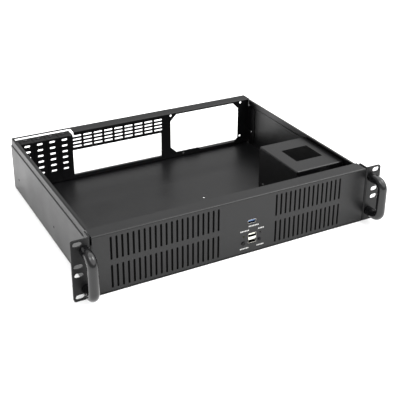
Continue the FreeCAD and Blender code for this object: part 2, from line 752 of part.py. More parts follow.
def handle_right():
    """Round bar bent into a grip, standing off the ear."""
    low, high = HANDLE_LOW, HANDLE_HIGH
    turn = HANDLE_BEND - HANDLE_REACH
    quarter = [math.pi / 2 * i / HANDLE_BEND_STEPS for i in range(HANDLE_BEND_STEPS + 1)]
    stops = [(slope, low + HANDLE_BEND) for slope in quarter]
    stops += [(math.pi - slope, high - HANDLE_BEND) for slope in quarter[::-1]]
    rings = [handle_ring(0, low, 0)]
    for slope, pivot in stops:
        y = turn - HANDLE_BEND * math.sin(slope)
        z = pivot - HANDLE_BEND * math.cos(slope)
        rings.append(handle_ring(y, z, slope))
    rings.append(handle_ring(0, high, math.pi))
    holes = []
    for x, z in handle_screw_places():
        holes.append(rod(HANDLE_SHANK_R + SCREW_CLEARANCE, x, z, -HANDLE_HOLE_DEPTH, THROUGH))
    return cut_all(skinned(rings), holes)


# Drive bracket

def drive_bracket():
    """Bridge on two feet, with a square hole in its top and a lip at its front."""
    left, right = BRACKET_LEFT, BRACKET_RIGHT
    path = [
        (right - BRACKET_FOOT, FLOOR_TOP),
        (right, FLOOR_TOP),
        (right, BRACKET_TOP),
        (left, BRACKET_TOP),
        (left, FLOOR_TOP),
        (left + BRACKET_FOOT, FLOOR_TOP),
    ]
    bridge = folded(path, "xz", BRACKET_FRONT, BRACKET_BACK)
    lip_sides = (left + BRACKET_RELIEF, right - BRACKET_RELIEF)
    lip_back = BRACKET_FRONT + CORNER_ROOM
    lip_height = (BRACKET_TOP - THROUGH, BRACKET_TOP + THROUGH)
    lip_room = box(lip_sides, (BRACKET_FRONT - THROUGH, lip_back), lip_height)
    lip_path = [
        (lip_back + SHEET, BRACKET_TOP),
        (BRACKET_FRONT, BRACKET_TOP),
        (BRACKET_FRONT, BRACKET_TOP - BRACKET_LIP),
    ]
    lip = folded(lip_path, "yz", *lip_sides)
    bridge = joined(bridge.cut(lip_room), lip)
    opening = eased(
        (BRACKET_CUT_X, BRACKET_CUT_X + BRACKET_CUT_WIDTH),
        (BRACKET_CUT_Y, BRACKET_CUT_Y + BRACKET_CUT_DEPTH),
        BRACKET_CUT_CORNER,
        HOLE_SIDES,
    )
    tools = [prism(opening, "xy", BRACKET_TOP - THROUGH, BRACKET_TOP + THROUGH)]
    for y in around(BRACKET_FRONT + BRACKET_DEPTH / 2, DRIVE_SLOT_PITCH):
        along = around(y, DRIVE_SLOT_LENGTH)
        up = around(DRIVE_SLOT_Z, DRIVE_SLOT_WIDTH)
        tools.append(slot(along, up, "yz", left - THROUGH, right + THROUGH))
    for place in bracket_screw_places():
        tools.append(bracket_screw(place, SCREW_CLEARANCE))
    return cut_all(bridge, tools)


# Control board and what it carries

def board_post_places():
    """Centres of the four posts behind the face."""
    columns = (BOARD_LEFT + BOARD_POST_INSET, BOARD_LEFT + BOARD_WIDTH - BOARD_POST_INSET)
    rows = (BOARD_BOTTOM + BOARD_POST_INSET, BOARD_BOTTOM + BOARD_HEIGHT - BOARD_POST_INSET)
    return [(x, z) for x in columns for z in rows]


def control_board():
    """Circuit board that holds the ports, switches and lights."""
    outline = clipped(
        (BOARD_LEFT, BOARD_LEFT + BOARD_WIDTH),
        (BOARD_BOTTOM, BOARD_BOTTOM + BOARD_HEIGHT),
        BOARD_CORNER,
    )
    board = prism(outline, "xz", BOARD_FRONT, BOARD_BACK)
    hole_r = BOARD_SHANK_R + SCREW_CLEARANCE
    holes = [rod(hole_r, x, z, BOARD_FRONT - THROUGH, BOARD_BACK + THROUGH) for x, z in board_post_places()]
    return cut_all(board, holes)


def board_posts():
    """Posts from the face to the board, bored for their screws."""
    bore = BOARD_SCREW - BOARD_THICKNESS + DRIVE_POINT
    posts = []
    for x, z in board_post_places():
        post = rod(POST_R, x, z, SHEET, BOARD_FRONT, POST_SIDES)
        hole = rod(BOARD_SHANK_R + SCREW_CLEARANCE, x, z, BOARD_FRONT - bore, BOARD_FRONT + THROUGH)
        posts.append(post.cut(hole))
    return Part.makeCompound(posts)


def board_screws():
    """Screws forward through the board into its posts."""
    forward = Vector(0, -1, 0)
    screws = []
    for x, z in board_post_places():
        base = Vector(x, BOARD_BACK, z)
        screws.append(pan_screw(base, forward, BOARD_HEAD_R, BOARD_SHANK_R, SMALL_HEAD_HEIGHT, BOARD_SCREW))
    return Part.makeCompound(screws)


def port_shell(x, z, height):
    """Thin metal sleeve of a port, open at both ends."""
    outer = clipped(around(x, PORT_WIDTH), around(z, height), PORT_WALL)
    inner = clipped(around(x, PORT_WIDTH - 2 * PORT_WALL), around(z, height - 2 * PORT_WALL), PORT_WALL / 2)
    sleeve = prism(outer, "xz", -PORT_PROUD, BOARD_FRONT)
    return sleeve.cut(prism(inner, "xz", -PORT_PROUD - THROUGH, BOARD_FRONT + THROUGH))


def port_block(x, z, height):
    """Plastic that fills the back of a port's shell."""
    room = 2 * (PORT_WALL + PORT_INSERT_GAP)
    outline = clipped(around(x, PORT_WIDTH - room), around(z, height - room), PORT_WALL / 2)
    return prism(outline, "xz", BOARD_FRONT - PORT_BLOCK, BOARD_FRONT)


def port_tongue(x, roof):
    """Contact tongue under the roof of one port."""
    top = roof - TONGUE_HEADROOM
    run = (PORT_TONGUE_SET, BOARD_FRONT - PORT_BLOCK)
    return box(around(x, TONGUE_WIDTH), run, (top - TONGUE_THICKNESS, top))


def single_port_insert():
    """Insulator of the single port."""
    roof = SINGLE_Z + SINGLE_HEIGHT / 2 - PORT_WALL
    return joined(port_block(SINGLE_X, SINGLE_Z, SINGLE_HEIGHT), port_tongue(SINGLE_X, roof))


def stacked_port_insert():
    """Insulator of the two stacked ports, with the web between them."""
    roof = STACK_Z + STACK_HEIGHT / 2 - PORT_WALL
    width = PORT_WIDTH - 2 * (PORT_WALL + PORT_INSERT_GAP)
    web = box(around(STACK_X, width), (0, BOARD_FRONT - PORT_BLOCK), around(STACK_Z, STACK_WEB))
    tongues = [port_tongue(STACK_X, roof), port_tongue(STACK_X, STACK_Z - STACK_WEB / 2)]
    return joined(port_block(STACK_X, STACK_Z, STACK_HEIGHT), web, *tongues)


def button(x, z, radius):
    """Push button with a cap in the face, a flange behind it and a stem to its switch."""
    flange = SHEET + BUTTON_CLEARANCE
    edge = radius / 6
    profile = [
        (radius - edge, -BUTTON_PROUD),
        (radius, edge - BUTTON_PROUD),
        (radius, flange),
        (radius + BUTTON_FLANGE, flange),
        (radius + BUTTON_FLANGE, flange + BUTTON_FLANGE_THICKNESS),
        (BUTTON_STEM_R, flange + BUTTON_FLANGE_THICKNESS),
        (BUTTON_STEM_R, PLUNGER_FRONT),
    ]
    return turned(profile, Vector(x, 0, z), Vector(0, 1, 0), BUTTON_SIDES)


def switch(x, z):
    """Body of a push switch on the board, with the well that its plunger sinks into."""
    body = box(around(x, SWITCH_SIDE), (SWITCH_FRONT, BOARD_FRONT), around(z, SWITCH_SIDE))
    well_end = PLUNGER_FRONT + PLUNGER_LENGTH + BUTTON_TRAVEL + PLUNGER_FLOOR
    return body.cut(rod(PLUNGER_R + BUTTON_CLEARANCE, x, z, SWITCH_FRONT - THROUGH, well_end))


def switch_plunger(x, z):
    """Plunger that the button's stem pushes."""
    return rod(PLUNGER_R, x, z, PLUNGER_FRONT, PLUNGER_FRONT + PLUNGER_LENGTH)


def led(x, z):
    """Domed light in the face."""
    back = LED_LENGTH - LED_PROUD
    middle = LED_R - LED_PROUD
    dome = [math.radians(angle) for angle in (25, 60, 90)]
    profile = [(LED_R * math.sin(angle), middle - LED_R * math.cos(angle)) for angle in dome]
    profile += [(LED_R, back - LED_FLANGE), (LED_FLANGE_R, back - LED_FLANGE), (LED_FLANGE_R, back)]
    return turned(profile, Vector(x, 0, z), Vector(0, 1, 0), HOLE_SIDES)


def led_spacers():
    """Sleeves that hold the lights off the board."""
    sleeves = []
    for x, z in ((POWER_LED_X, POWER_LED_Z), (DRIVE_LED_X, DRIVE_LED_Z)):
        sleeve = rod(SPACER_R, x, z, LED_LENGTH - LED_PROUD, BOARD_FRONT)
        sleeves.append(sleeve.cut(rod(SPACER_BORE_R, x, z, 0, BOARD_FRONT + THROUGH)))
    return Part.makeCompound(sleeves)


def main():
    """Build and save every piece."""
    os.makedirs("parts", exist_ok=True)
    save("base_tray", base_tray())
    save("front_panel", front_panel())
    save("vent_filters", vent_filters())
    save("rear_panel", rear_panel())
    for number, x in enumerate(SLOT_CENTRES, 1):
        save(f"slot_cover_{number}", slot_cover(x))
    save("slot_cover_screws", slot_cover_screws())
    for name, shape in zip(("ear_right", "ear_left"), both_sides(ear_right())):
        save(name, shape)
    screws = [screw for z in ear_screw_heights() for screw in both_sides(ear_screw(z))]
    save("ear_screws", Part.makeCompound(screws))
    for name, shape in zip(("handle_right", "handle_left"), both_sides(handle_right())):
        save(name, shape)
    screws = [screw for place in handle_screw_places() for screw in both_sides(handle_screw(*place))]
    save("handle_screws", Part.makeCompound(screws))
    save("drive_bracket", drive_bracket())
    screws = [bracket_screw(place) for place in bracket_screw_places()]
    save("drive_bracket_screws", Part.makeCompound(screws))
    save("control_board", control_board())
    save("board_posts", board_posts())
    save("board_screws", board_screws())
    save("single_port_shell", port_shell(SINGLE_X, SINGLE_Z, SINGLE_HEIGHT))
    save("single_port_insert", single_port_insert())
    save("stacked_port_shell", port_shell(STACK_X, STACK_Z, STACK_HEIGHT))
    save("stacked_port_insert", stacked_port_insert())
    save("power_button", button(POWER_X, POWER_Z, POWER_R))
    save("power_switch", switch(POWER_X, POWER_Z))
    save("power_switch_plunger", switch_plunger(POWER_X, POWER_Z))
    save("reset_button", button(RESET_X, RESET_Z, RESET_R))
    save("reset_switch", switch(RESET_X, RESET_Z))
    save("reset_switch_plunger", switch_plunger(RESET_X, RESET_Z))
    save("power_led", led(POWER_LED_X, POWER_LED_Z))
    save("drive_led", led(DRIVE_LED_X, DRIVE_LED_Z))
    save("led_spacers", led_spacers())


main()
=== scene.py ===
"""Scene of an open two-unit rackmount case: finishes, grips, screws, ports, buttons, lamps, board and studio.

Sizes are in millimetres and become metres in the meshes. +X is to the right seen from the front, +Y runs
from the front panel to the rear, and +Z is up.
"""
import logging
import math
from dataclasses import dataclass
from enum import Enum

import bmesh
import bpy
from mathutils import Matrix, Vector


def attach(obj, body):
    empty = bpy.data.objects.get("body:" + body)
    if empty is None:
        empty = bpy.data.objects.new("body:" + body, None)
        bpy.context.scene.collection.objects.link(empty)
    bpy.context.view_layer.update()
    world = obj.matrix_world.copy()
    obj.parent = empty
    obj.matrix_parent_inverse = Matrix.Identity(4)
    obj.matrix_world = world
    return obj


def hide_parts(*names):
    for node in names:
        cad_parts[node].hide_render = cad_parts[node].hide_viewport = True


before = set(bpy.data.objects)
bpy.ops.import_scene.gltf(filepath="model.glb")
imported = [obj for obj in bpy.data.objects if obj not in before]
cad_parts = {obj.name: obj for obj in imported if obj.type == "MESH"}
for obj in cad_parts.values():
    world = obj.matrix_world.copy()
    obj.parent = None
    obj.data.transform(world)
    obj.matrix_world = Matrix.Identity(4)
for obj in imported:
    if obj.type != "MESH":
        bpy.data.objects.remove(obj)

LOG = logging.getLogger("rack_case")
Point = tuple[float, float, float]
Spot = tuple[float, float]
Mesh = bpy.types.Mesh
Tree = bpy.types.NodeTree
Socket = bpy.types.NodeSocket

MM = 0.001
COAT_ROUGHNESS = 0.08
CORNER_STEPS = 5

# Distance in metres under which two corners of a mesh are one.
MERGE_DISTANCE = 1e-7

# Values between which the noise of a finish mostly stays.
NOISE_SPAN: Spot = (0.3, 0.7)

# Angles, in degrees, above which an edge stays crisp.
TURNED_EDGE = 35.0
JOINED_EDGE = 40.0
MOULDED_EDGE = 50.0

# Planes across the case, along Y.
EAR_FACE = -175.0
FACE_INSIDE = -173.8
BOARD_FRONT = -159.8
BOARD_BACK = -158.2

# Middles (x, z) of what shows in the face, with the contacts' pitch.
SINGLE_PORT: Spot = (19.5, 50.0)
STACKED_PORT: Spot = (20.7, 23.7)
POWER_SWITCH: Spot = (6.6, 17.5)
RESET_SWITCH: Spot = (32.6, 18.2)
POWER_LAMP: Spot = (7.1, 27.9)
DRIVE_LAMP: Spot = (34.0, 29.3)
CONTACT_PITCH = 2.33

# Columns and heights that the grips and the board share with their screws.
GRIP_X = 223.8
GRIP_HEIGHTS: Spot = (16.05, 72.05)
POST_X: Spot = (-4.0, 44.0)
POST_Z: Spot = (10.0, 60.0)


# Shared helpers


def linear(colour: str) -> tuple[float, float, float, float]:
    """Turn an sRGB hex colour into linear values.

    Args:
        colour: Six hex digits after a hash.

    Returns:
        Red, green, blue and full opacity, in linear light.
    """
    levels = [int(colour[i : i + 2], 16) / 255 for i in (1, 3, 5)]
    light = [v / 12.92 if v <= 0.04045 else ((v + 0.055) / 1.055) ** 2.4 for v in levels]
    return light[0], light[1], light[2], 1.0


def add(tree: Tree, kind: str, inputs: dict | None = None, **settings: object) -> bpy.types.Node:
    """Add one node to a tree.

    Args:
        tree: Tree that takes the node.
        kind: Blender's name for the kind of node.
        inputs: Constant, or socket that feeds it, for each input by name or number.
        **settings: The node's own properties.

    Returns:
        The new node.
    """
    node = tree.nodes.new(kind)
    for name, setting in settings.items():
        setattr(node, name, setting)
    for key, value in (inputs or {}).items():
        if isinstance(value, Socket):
            tree.links.new(value, node.inputs[key])
        else:
            node.inputs[key].default_value = value
    return node


def noise(tree: Tree, place: Socket, size_mm: float, detail: float) -> Socket:
    """Noise with waves of about a size, from 0 to 1."""
    inputs = {"Vector": place, "Scale": 1 / (size_mm * MM), "Detail": detail}
    return add(tree, "ShaderNodeTexNoise", inputs).outputs["Fac"]


def maths(tree: Tree, operation: str, *terms: object) -> Socket:
    """Result of one sum on sockets and constants."""
    return add(tree, "ShaderNodeMath", dict(enumerate(terms)), operation=operation).outputs["Value"]


def blend(tree: Tree, share: Socket, first: object, second: object) -> Socket:
    """Colour between two others, the second where the share is 1."""
    inputs = {"Factor": share, "A": first, "B": second}
    return add(tree, "ShaderNodeMix", inputs, data_type="RGBA").outputs["Result"]


def millimetres(point: Point) -> Vector:
    """Point in metres from one in millimetres."""
    return Vector(point) * MM


def circle(radius: float, count: int) -> list[Spot]:
    """Even points on a circle, from where a rounded outline starts."""
    angles = [2 * math.pi * i / count for i in range(count)]
    return [(radius * math.cos(a), radius * math.sin(a)) for a in angles]


def ring(x: float, y: float, z: float, outline: list[Spot]) -> list[Vector]:
    """Outline about (x, z) in the plane across the case at y, in metres."""
    return [millimetres((x + u, y, z + v)) for u, v in outline]


def placed(name: str, data: bpy.types.ID) -> bpy.types.Object:
    """New object in the scene.

    Args:
        name: Its name.
        data: Mesh, lamp or camera that it holds.

    Returns:
        The object.
    """
    made = bpy.data.objects.new(name, data)
    bpy.context.scene.collection.objects.link(made)
    return made


# Finishes


@dataclass(frozen=True)
class Finish:
    """Opaque surface with a fine grain, a slow drift of tone and a spread of gloss."""

    name: str
    dark: str
    light: str
    roughness: tuple[float, float]
    grain_mm: float
    grain_depth_mm: float
    drift_mm: float = 45.0
    metallic: float = 0.0
    coat: float = 0.0
    stretch: Point = (1.0, 1.0, 1.0)
    specular: float = 0.5

    def material(self) -> bpy.types.Material:
        """Material of this finish, made the first time it is asked for.

        Returns:
            The finish's node material.
        """
        known = bpy.data.materials.get(self.name)
        if known is not None:
            return known
        made = bpy.data.materials.new(self.name)
        made.use_nodes = True
        tree = made.node_tree
        tree.nodes.clear()
        place = add(tree, "ShaderNodeTexCoord").outputs["Object"]
        drift = noise(tree, place, self.drift_mm, detail=3.0)
        tone = blend(tree, drift, linear(self.dark), linear(self.light))
        spans = dict(zip(("From Min", "From Max", "To Min", "To Max"), NOISE_SPAN + self.roughness))
        gloss = add(tree, "ShaderNodeMapRange", {"Value": drift} | spans)
        stretched = add(tree, "ShaderNodeMapping", {"Vector": place, "Scale": self.stretch})
        grain = noise(tree, stretched.outputs["Vector"], self.grain_mm, detail=2.0)
        depth = self.grain_depth_mm * MM
        bump = add(tree, "ShaderNodeBump", {"Height": grain, "Strength": 1.0, "Distance": depth})
        shader = add(
            tree,
            "ShaderNodeBsdfPrincipled",
            {
                "Base Color": self.pattern(tree, place, tone),
                "Metallic": self.metallic,
                "Roughness": gloss.outputs["Result"],
                "Specular IOR Level": self.specular,
                "Coat Weight": self.coat,
                "Coat Roughness": COAT_ROUGHNESS,
                "Normal": bump.outputs["Normal"],
            },
        )
        add(tree, "ShaderNodeOutputMaterial", {"Surface": shader.outputs["BSDF"]})
        return made

    def pattern(self, tree: Tree, place: Socket, tone: Socket) -> Socket:
        """Colour of the surface; plain finishes keep their drifting tone."""
        return tone


@dataclass(frozen=True)
class SolderMask(Finish):
    """Lacquer over copper tracks, lighter lines of 0.4 mm on a pitch of 1.1 mm."""

    cell_mm: float = 6.4
    track_repeats: float = 6.0
    gap_share: float = 0.62
    track_colour: str = "#2f7a4c"

    def pattern(self, tree: Tree, place: Socket, tone: Socket) -> Socket:
        """Lay straight and stepped tracks over the lacquer's tone.

        Args:
            tree: Material's tree.
            place: Object coordinates.
            tone: The plain lacquer's tone.

        Returns:
            Socket with the colour.
        """
        inputs = {"Vector": place, "Scale": 1 / (self.cell_mm * MM)}
        cells = add(tree, "ShaderNodeTexVoronoi", inputs, distance="MANHATTAN", feature="F1")
        wave = maths(tree, "FRACT", maths(tree, "MULTIPLY", cells.outputs["Distance"], self.track_repeats))
        track = maths(tree, "GREATER_THAN", wave, self.gap_share)
        return blend(tree, track, tone, linear(self.track_colour))


@dataclass(frozen=True)
class MeshCloth(Finish):
    """Woven mesh behind the vents, near-black as painted shade: threads of 0.3 mm on a pitch of 0.8 mm,
    square to the case.
    """

    cell_mm: float = 0.8
    thread_share: float = 0.4
    thread_colour: str = "#0b0b0b"

    def pattern(self, tree: Tree, place: Socket, tone: Socket) -> Socket:
        """Weave threads along X and Z.

        Args:
            tree: Material's tree.
            place: Object coordinates.
            tone: The gaps' tone.

        Returns:
            Socket with the colour.
        """
        axes = add(tree, "ShaderNodeSeparateXYZ", {"Vector": place}).outputs
        threads = []
        for axis in ("X", "Z"):
            across = maths(tree, "FRACT", maths(tree, "MULTIPLY", axes[axis], 1 / (self.cell_mm * MM)))
            threads.append(maths(tree, "LESS_THAN", across, self.thread_share))
        return blend(tree, maths(tree, "MAXIMUM", *threads), tone, linear(self.thread_colour))


# Polyester powder baked on steel sheet: deep black with a satin sheen, and the faint orange peel of a fine
# coat. The peel's waves are about 0.8 mm, drawn at 1.1 mm so that they still show.
POWDER_COAT = Finish("powder_coated_steel", "#050506", "#09090a", (0.34, 0.4), 1.1, 0.012, specular=0.38)
# The same black on the rear panel, duller.
REAR_COAT = Finish("powder_coated_rear", "#050506", "#09090a", (0.38, 0.44), 1.1, 0.014, specular=0.24)
# The same powder on the slot covers, from another batch with less gloss.
COVER_COAT = Finish("powder_coated_covers", "#050506", "#08080a", (0.42, 0.48), 1.0, 0.014, specular=0.18)
# A flatter black on the ears, which take knocks from the rack.
EAR_COAT = Finish("powder_coated_ears", "#060607", "#0a0a0b", (0.42, 0.5), 1.0, 0.014, specular=0.3)
# Near-black nylon mesh behind the vents, with hardly any sheen: painted shade that stands for the dark inside
# of the case seen through the vents.
VENT_SHADE_MESH = MeshCloth(
    "nylon_filter_mesh", "#020202", "#030303", (0.85, 0.95), 0.5, 0.01, drift_mm=8.0, specular=0.03
)
# Enamel on the bent bars, smooth enough for sharp lights on the bends.
GRIP_ENAMEL = Finish("enamelled_bar", "#070708", "#0b0b0c", (0.15, 0.2), 2.5, 0.002, coat=0.15, specular=0.42)
# Black zinc plating on small screws: dull metal with a faint blue-brown cast.
BLACK_ZINC = Finish(
    "black_zinc_screw", "#34343a", "#42403f", (0.34, 0.46), 0.5, 0.006, drift_mm=3.0, metallic=1.0
)
# Clear zinc plating on turned steel posts.
BRIGHT_ZINC = Finish(
    "zinc_plated_post", "#b9bbc0", "#cdced0", (0.22, 0.34), 0.4, 0.004, drift_mm=5.0, metallic=1.0
)
# Nickel plate on drawn port shells, with the draw lines running back into the case.
NICKEL = Finish(
    "nickel_port_shell", "#c9c6bf", "#dedcd6", (0.2, 0.3), 0.5, 0.003, drift_mm=4.0, metallic=1.0,
    stretch=(1, 0.1, 1),
)
# Gold flash on contacts.
GOLD = Finish("gold_flash_contact", "#c9a24a", "#dcb765", (0.2, 0.3), 0.3, 0.002, drift_mm=2.0, metallic=1.0)
# Glass-filled nylon of port tongues: matt white and blue with a slight grain.
WHITE_NYLON = Finish("white_nylon_tongue", "#e9eadc", "#f2f3e8", (0.42, 0.52), 0.4, 0.006, drift_mm=4.0)
BLUE_NYLON = Finish("blue_nylon_tongue", "#41618f", "#4d6f9f", (0.38, 0.48), 0.4, 0.006, drift_mm=4.0)
# Near-black plates on the lower sides of the ports' openings: painted shade that stands for the dark insides
# of the openings.
PORT_SHADE_PLATES = Finish(
    "blackened_port_lining", "#070707", "#0a0a0a", (0.6, 0.7), 0.4, 0.004, drift_mm=4.0, specular=0.1
)
# Moulded ABS of button caps: black with a spark-eroded grain.
BLACK_ABS = Finish(
    "black_abs_button", "#050506", "#080809", (0.36, 0.44), 0.35, 0.008, drift_mm=6.0, specular=0.18
)
# Phenolic and nylon of switch bodies, spacers and header blocks.
BLACK_PHENOLIC = Finish("black_phenolic", "#1b1b1c", "#232324", (0.5, 0.6), 0.5, 0.008, drift_mm=6.0)
PLUNGER_NYLON = Finish("pale_nylon_plunger", "#d9d6c8", "#e4e2d6", (0.4, 0.5), 0.4, 0.004, drift_mm=3.0)
# Tinted epoxy of unlit lamps: dark, with a glassy skin.
GREEN_EPOXY = Finish(
    "green_epoxy_lamp", "#1c200a", "#262b10", (0.1, 0.16), 1.0, 0.002, drift_mm=3.0, specular=0.2
)
RED_EPOXY = Finish(
    "red_epoxy_lamp", "#0c0606", "#120909", (0.1, 0.16), 1.0, 0.002, drift_mm=3.0, specular=0.2
)
# Screen-printed epoxy ink.
PALE_INK = Finish("pale_screen_ink", "#c4c4c2", "#d2d2d0", (0.6, 0.7), 0.3, 0.004, drift_mm=3.0)
# Ceramic bodies of chip resistors and the tin on their ends and on solder joints.
CERAMIC = Finish("resistor_ceramic", "#26262b", "#303036", (0.4, 0.5), 0.4, 0.006, drift_mm=2.0)
TIN = Finish("bright_tin", "#c3c4c6", "#d6d7d8", (0.24, 0.36), 0.4, 0.01, drift_mm=2.0, metallic=1.0)
# Green lacquer of the board.
SOLDER_MASK = SolderMask("green_solder_mask", "#14502e", "#195a35", (0.26, 0.34), 0.6, 0.006, drift_mm=14.0)
# White paper on the studio's floor.
PAPER = Finish("pale_paper", "#fafafa", "#fcfcfc", (0.8, 0.9), 3.0, 0.0, drift_mm=900.0)


# Meshes


def smoothed(shell: bmesh.types.BMesh, made: Mesh, edge_deg: float) -> Mesh:
    """Store a shape in a mesh, smooth but for its edges.

    Args:
        shell: The shape, which is freed.
        made: Mesh that takes it.
        edge_deg: Angle above which an edge stays crisp.

    Returns:
        The mesh.
    """
    shell.to_mesh(made)
    shell.free()
    made.shade_smooth()
    made.set_sharp_from_angle(angle=math.radians(edge_deg))
    return made


def skin(rings: list[list[Vector]], closed: bool) -> Mesh:
    """Surface through rings of points of equal count, smooth with crisp edges.

    Args:
        rings: Points of each ring, in metres.
        closed: True joins the last ring to the first; False caps both ends.

    Returns:
        Closed mesh, with its doubles merged and its faces pointing outwards.
    """
    count = len(rings[0])
    faces = [] if closed else [tuple(range(count))[::-1]]
    for number in range(len(rings) if closed else len(rings) - 1):
        low, high = number * count, (number + 1) % len(rings) * count
        for i in range(count):
            after = (i + 1) % count
            faces.append((low + i, low + after, high + after, high + i))
    if not closed:
        faces.append(tuple(range((len(rings) - 1) * count, len(rings) * count)))
    made = bpy.data.meshes.new("skin")
    made.from_pydata([tuple(p) for points in rings for p in points], [], faces)
    shell = bmesh.new()
    shell.from_mesh(made)
    bmesh.ops.remove_doubles(shell, verts=shell.verts, dist=MERGE_DISTANCE)
    bmesh.ops.recalc_face_normals(shell, faces=shell.faces)
    return smoothed(shell, made, TURNED_EDGE)


def lathe(profile: list[Spot], base: Point = (0, 0, 0), axis: Point = (0, 0, 1), segments: int = 32) -> Mesh:
    """Round piece turned about an axis.

    Args:
        profile: (radius, distance along the axis) of each ring, in millimetres.
        base: Point of the axis at distance 0, in millimetres.
        axis: Direction of growing distance.
        segments: Facets round the piece.

    Returns:
        Closed mesh in metres.
    """
    turn = Vector(axis).to_track_quat("Z", "Y").to_matrix()
    rings = [
        [(Vector(base) + turn @ Vector((u, v, distance))) * MM for u, v in circle(radius, segments)]
        for radius, distance in profile
    ]
    return skin(rings, False)


def rounded_outline(width: float, height: float, radius: float) -> list[Spot]:
    """Outline of a rectangle with round corners about its middle.

    Args:
        width: Full width.
        height: Full height.
        radius: Corner radius.

    Returns:
        Corners (u, v) in order.
    """
    outline = []
    for corner, (su, sv) in enumerate(((1, 1), (-1, 1), (-1, -1), (1, -1))):
        for step in range(CORNER_STEPS + 1):
            angle = math.pi / 2 * (corner + step / CORNER_STEPS)
            u = su * (width / 2 - radius) + radius * math.cos(angle)
            v = sv * (height / 2 - radius) + radius * math.sin(angle)
            outline.append((u, v))
    return outline


def moulded_block(low: Point, high: Point, edge: float) -> Mesh:
    """Block with rounded edges.

    Args:
        low: Lowest corner in millimetres.
        high: Highest corner in millimetres.
        edge: Radius of the edges in millimetres.

    Returns:
        Mesh in metres.
    """
    shell = bmesh.new()
    bmesh.ops.create_cube(shell, size=1.0)
    size = Vector(high) - Vector(low)
    middle = (Vector(high) + Vector(low)) / 2
    for vertex in shell.verts:
        vertex.co = Vector([middle[i] + vertex.co[i] * size[i] for i in range(3)]) * MM
    bmesh.ops.bevel(
        shell, geom=shell.edges[:] + shell.verts[:], offset=edge * MM, segments=2, profile=0.5, affect="EDGES"
    )
    bmesh.ops.recalc_face_normals(shell, faces=shell.faces)
    return smoothed(shell, bpy.data.meshes.new("block"), MOULDED_EDGE)


def together(meshes: list[Mesh]) -> Mesh:
    """One mesh that holds several.

    Args:
        meshes: Meshes to gather, which are removed.

    Returns:
        The new mesh.
    """
    shell = bmesh.new()
    for part in meshes:
        shell.from_mesh(part)
    made = smoothed(shell, bpy.data.meshes.new("group"), JOINED_EDGE)
    for part in meshes:
        bpy.data.meshes.remove(part)
    return made


def piece(name: str, mesh: Mesh, finish: Finish, slot: str, *nodes: str, body: str = "chassis") -> None:
    """Finished piece that rides on a body.

    Args:
        name: Name of the piece and of its mesh.
        mesh: The mesh, in place.
        finish: Its finish.
        slot: Material slot of the record that it follows; not used.
        *nodes: Plain nodes that it stands for.
        body: Body that carries it.
    """
    made = placed(name, mesh)
    mesh.name = name
    mesh.materials.clear()
    mesh.materials.append(finish.material())
    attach(made, body)
    if nodes:
        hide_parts(*nodes)
    LOG.info("%s: %d faces on %s", name, len(mesh.polygons), body)


# Geometry Nodes tools


class NodeTool:
    """Geometry Nodes tree with named inputs, run on a mesh and then taken away."""

    title = "tool"
    sockets: dict[str, str] = {}

    def __init__(self) -> None:
        """Make the tree, its sockets and its nodes."""
        self.tree = bpy.data.node_groups.new(self.title, "GeometryNodeTree")
        self.tree.interface.new_socket(name="Geometry", in_out="INPUT", socket_type="NodeSocketGeometry")
        self.tree.interface.new_socket(name="Geometry", in_out="OUTPUT", socket_type="NodeSocketGeometry")
        for name, kind in {"Finish": "Material", **self.sockets}.items():
            self.tree.interface.new_socket(name=name, in_out="INPUT", socket_type="NodeSocket" + kind)
        self.entry = add(self.tree, "NodeGroupInput").outputs
        real = add(self.tree, "GeometryNodeRealizeInstances", {"Geometry": self.build()})
        inputs = {"Geometry": real.outputs["Geometry"], "Material": self.entry["Finish"]}
        dressed = add(self.tree, "GeometryNodeSetMaterial", inputs)
        add(self.tree, "NodeGroupOutput", {"Geometry": dressed.outputs["Geometry"]})

    def build(self) -> Socket:
        """Make the tree's own nodes and give the socket with its shape."""
        return self.entry["Geometry"]

    def run(self, mesh: Mesh, finish: Finish, **inputs: object) -> Mesh:
        """Run the tree on a mesh.

        Args:
            mesh: Mesh that the tree starts from, which is removed.
            finish: Finish of the result.
            **inputs: Value of each other input, with _ for a space in its name.

        Returns:
            The resulting plain mesh.
        """
        carrier = placed("carrier", mesh)
        modifier = carrier.modifiers.new(self.title, "NODES")
        modifier.node_group = self.tree
        inputs["Finish"] = finish.material()
        for item in self.tree.interface.items_tree:
            key = item.name.replace(" ", "_")
            if item.in_out == "INPUT" and key in inputs:
                modifier[item.identifier] = inputs[key]
        carrier.update_tag()
        graph = bpy.context.evaluated_depsgraph_get()
        graph.update()
        made = bpy.data.meshes.new_from_object(carrier.evaluated_get(graph), depsgraph=graph)
        carrier.modifiers.remove(modifier)
        bpy.data.objects.remove(carrier)
        bpy.data.meshes.remove(mesh)
        made.set_sharp_from_angle(angle=math.radians(JOINED_EDGE))
        return made


class BentBar(NodeTool):
    """Round bar along a chain of straight runs, with its corners turned on a radius."""

    title = "bent_bar"
    sockets = {"Bar Radius": "Float", "Bend Radius": "Float", "Steps": "Int"}
    facets = 48

    def build(self) -> Socket:
        """Round the chain's corners and sweep the bar along it."""
        tree, entry = self.tree, self.entry
        line = add(tree, "GeometryNodeMeshToCurve", {"Mesh": entry["Geometry"]}).outputs["Curve"]
        bends = {"Curve": line, "Count": entry["Steps"], "Radius": entry["Bend Radius"], "Limit Radius": True}
        bent = add(tree, "GeometryNodeFilletCurve", bends, mode="POLY").outputs["Curve"]
        round_bar = {"Resolution": self.facets, "Radius": entry["Bar Radius"]}
        section = add(tree, "GeometryNodeCurvePrimitiveCircle", round_bar, mode="RADIUS").outputs["Curve"]
        ends = {"Curve": bent, "Profile Curve": section, "Fill Caps": True}
        swept = add(tree, "GeometryNodeCurveToMesh", ends)
        smooth = add(tree, "GeometryNodeSetShadeSmooth", {"Geometry": swept.outputs["Mesh"]})
        return smooth.outputs["Geometry"]


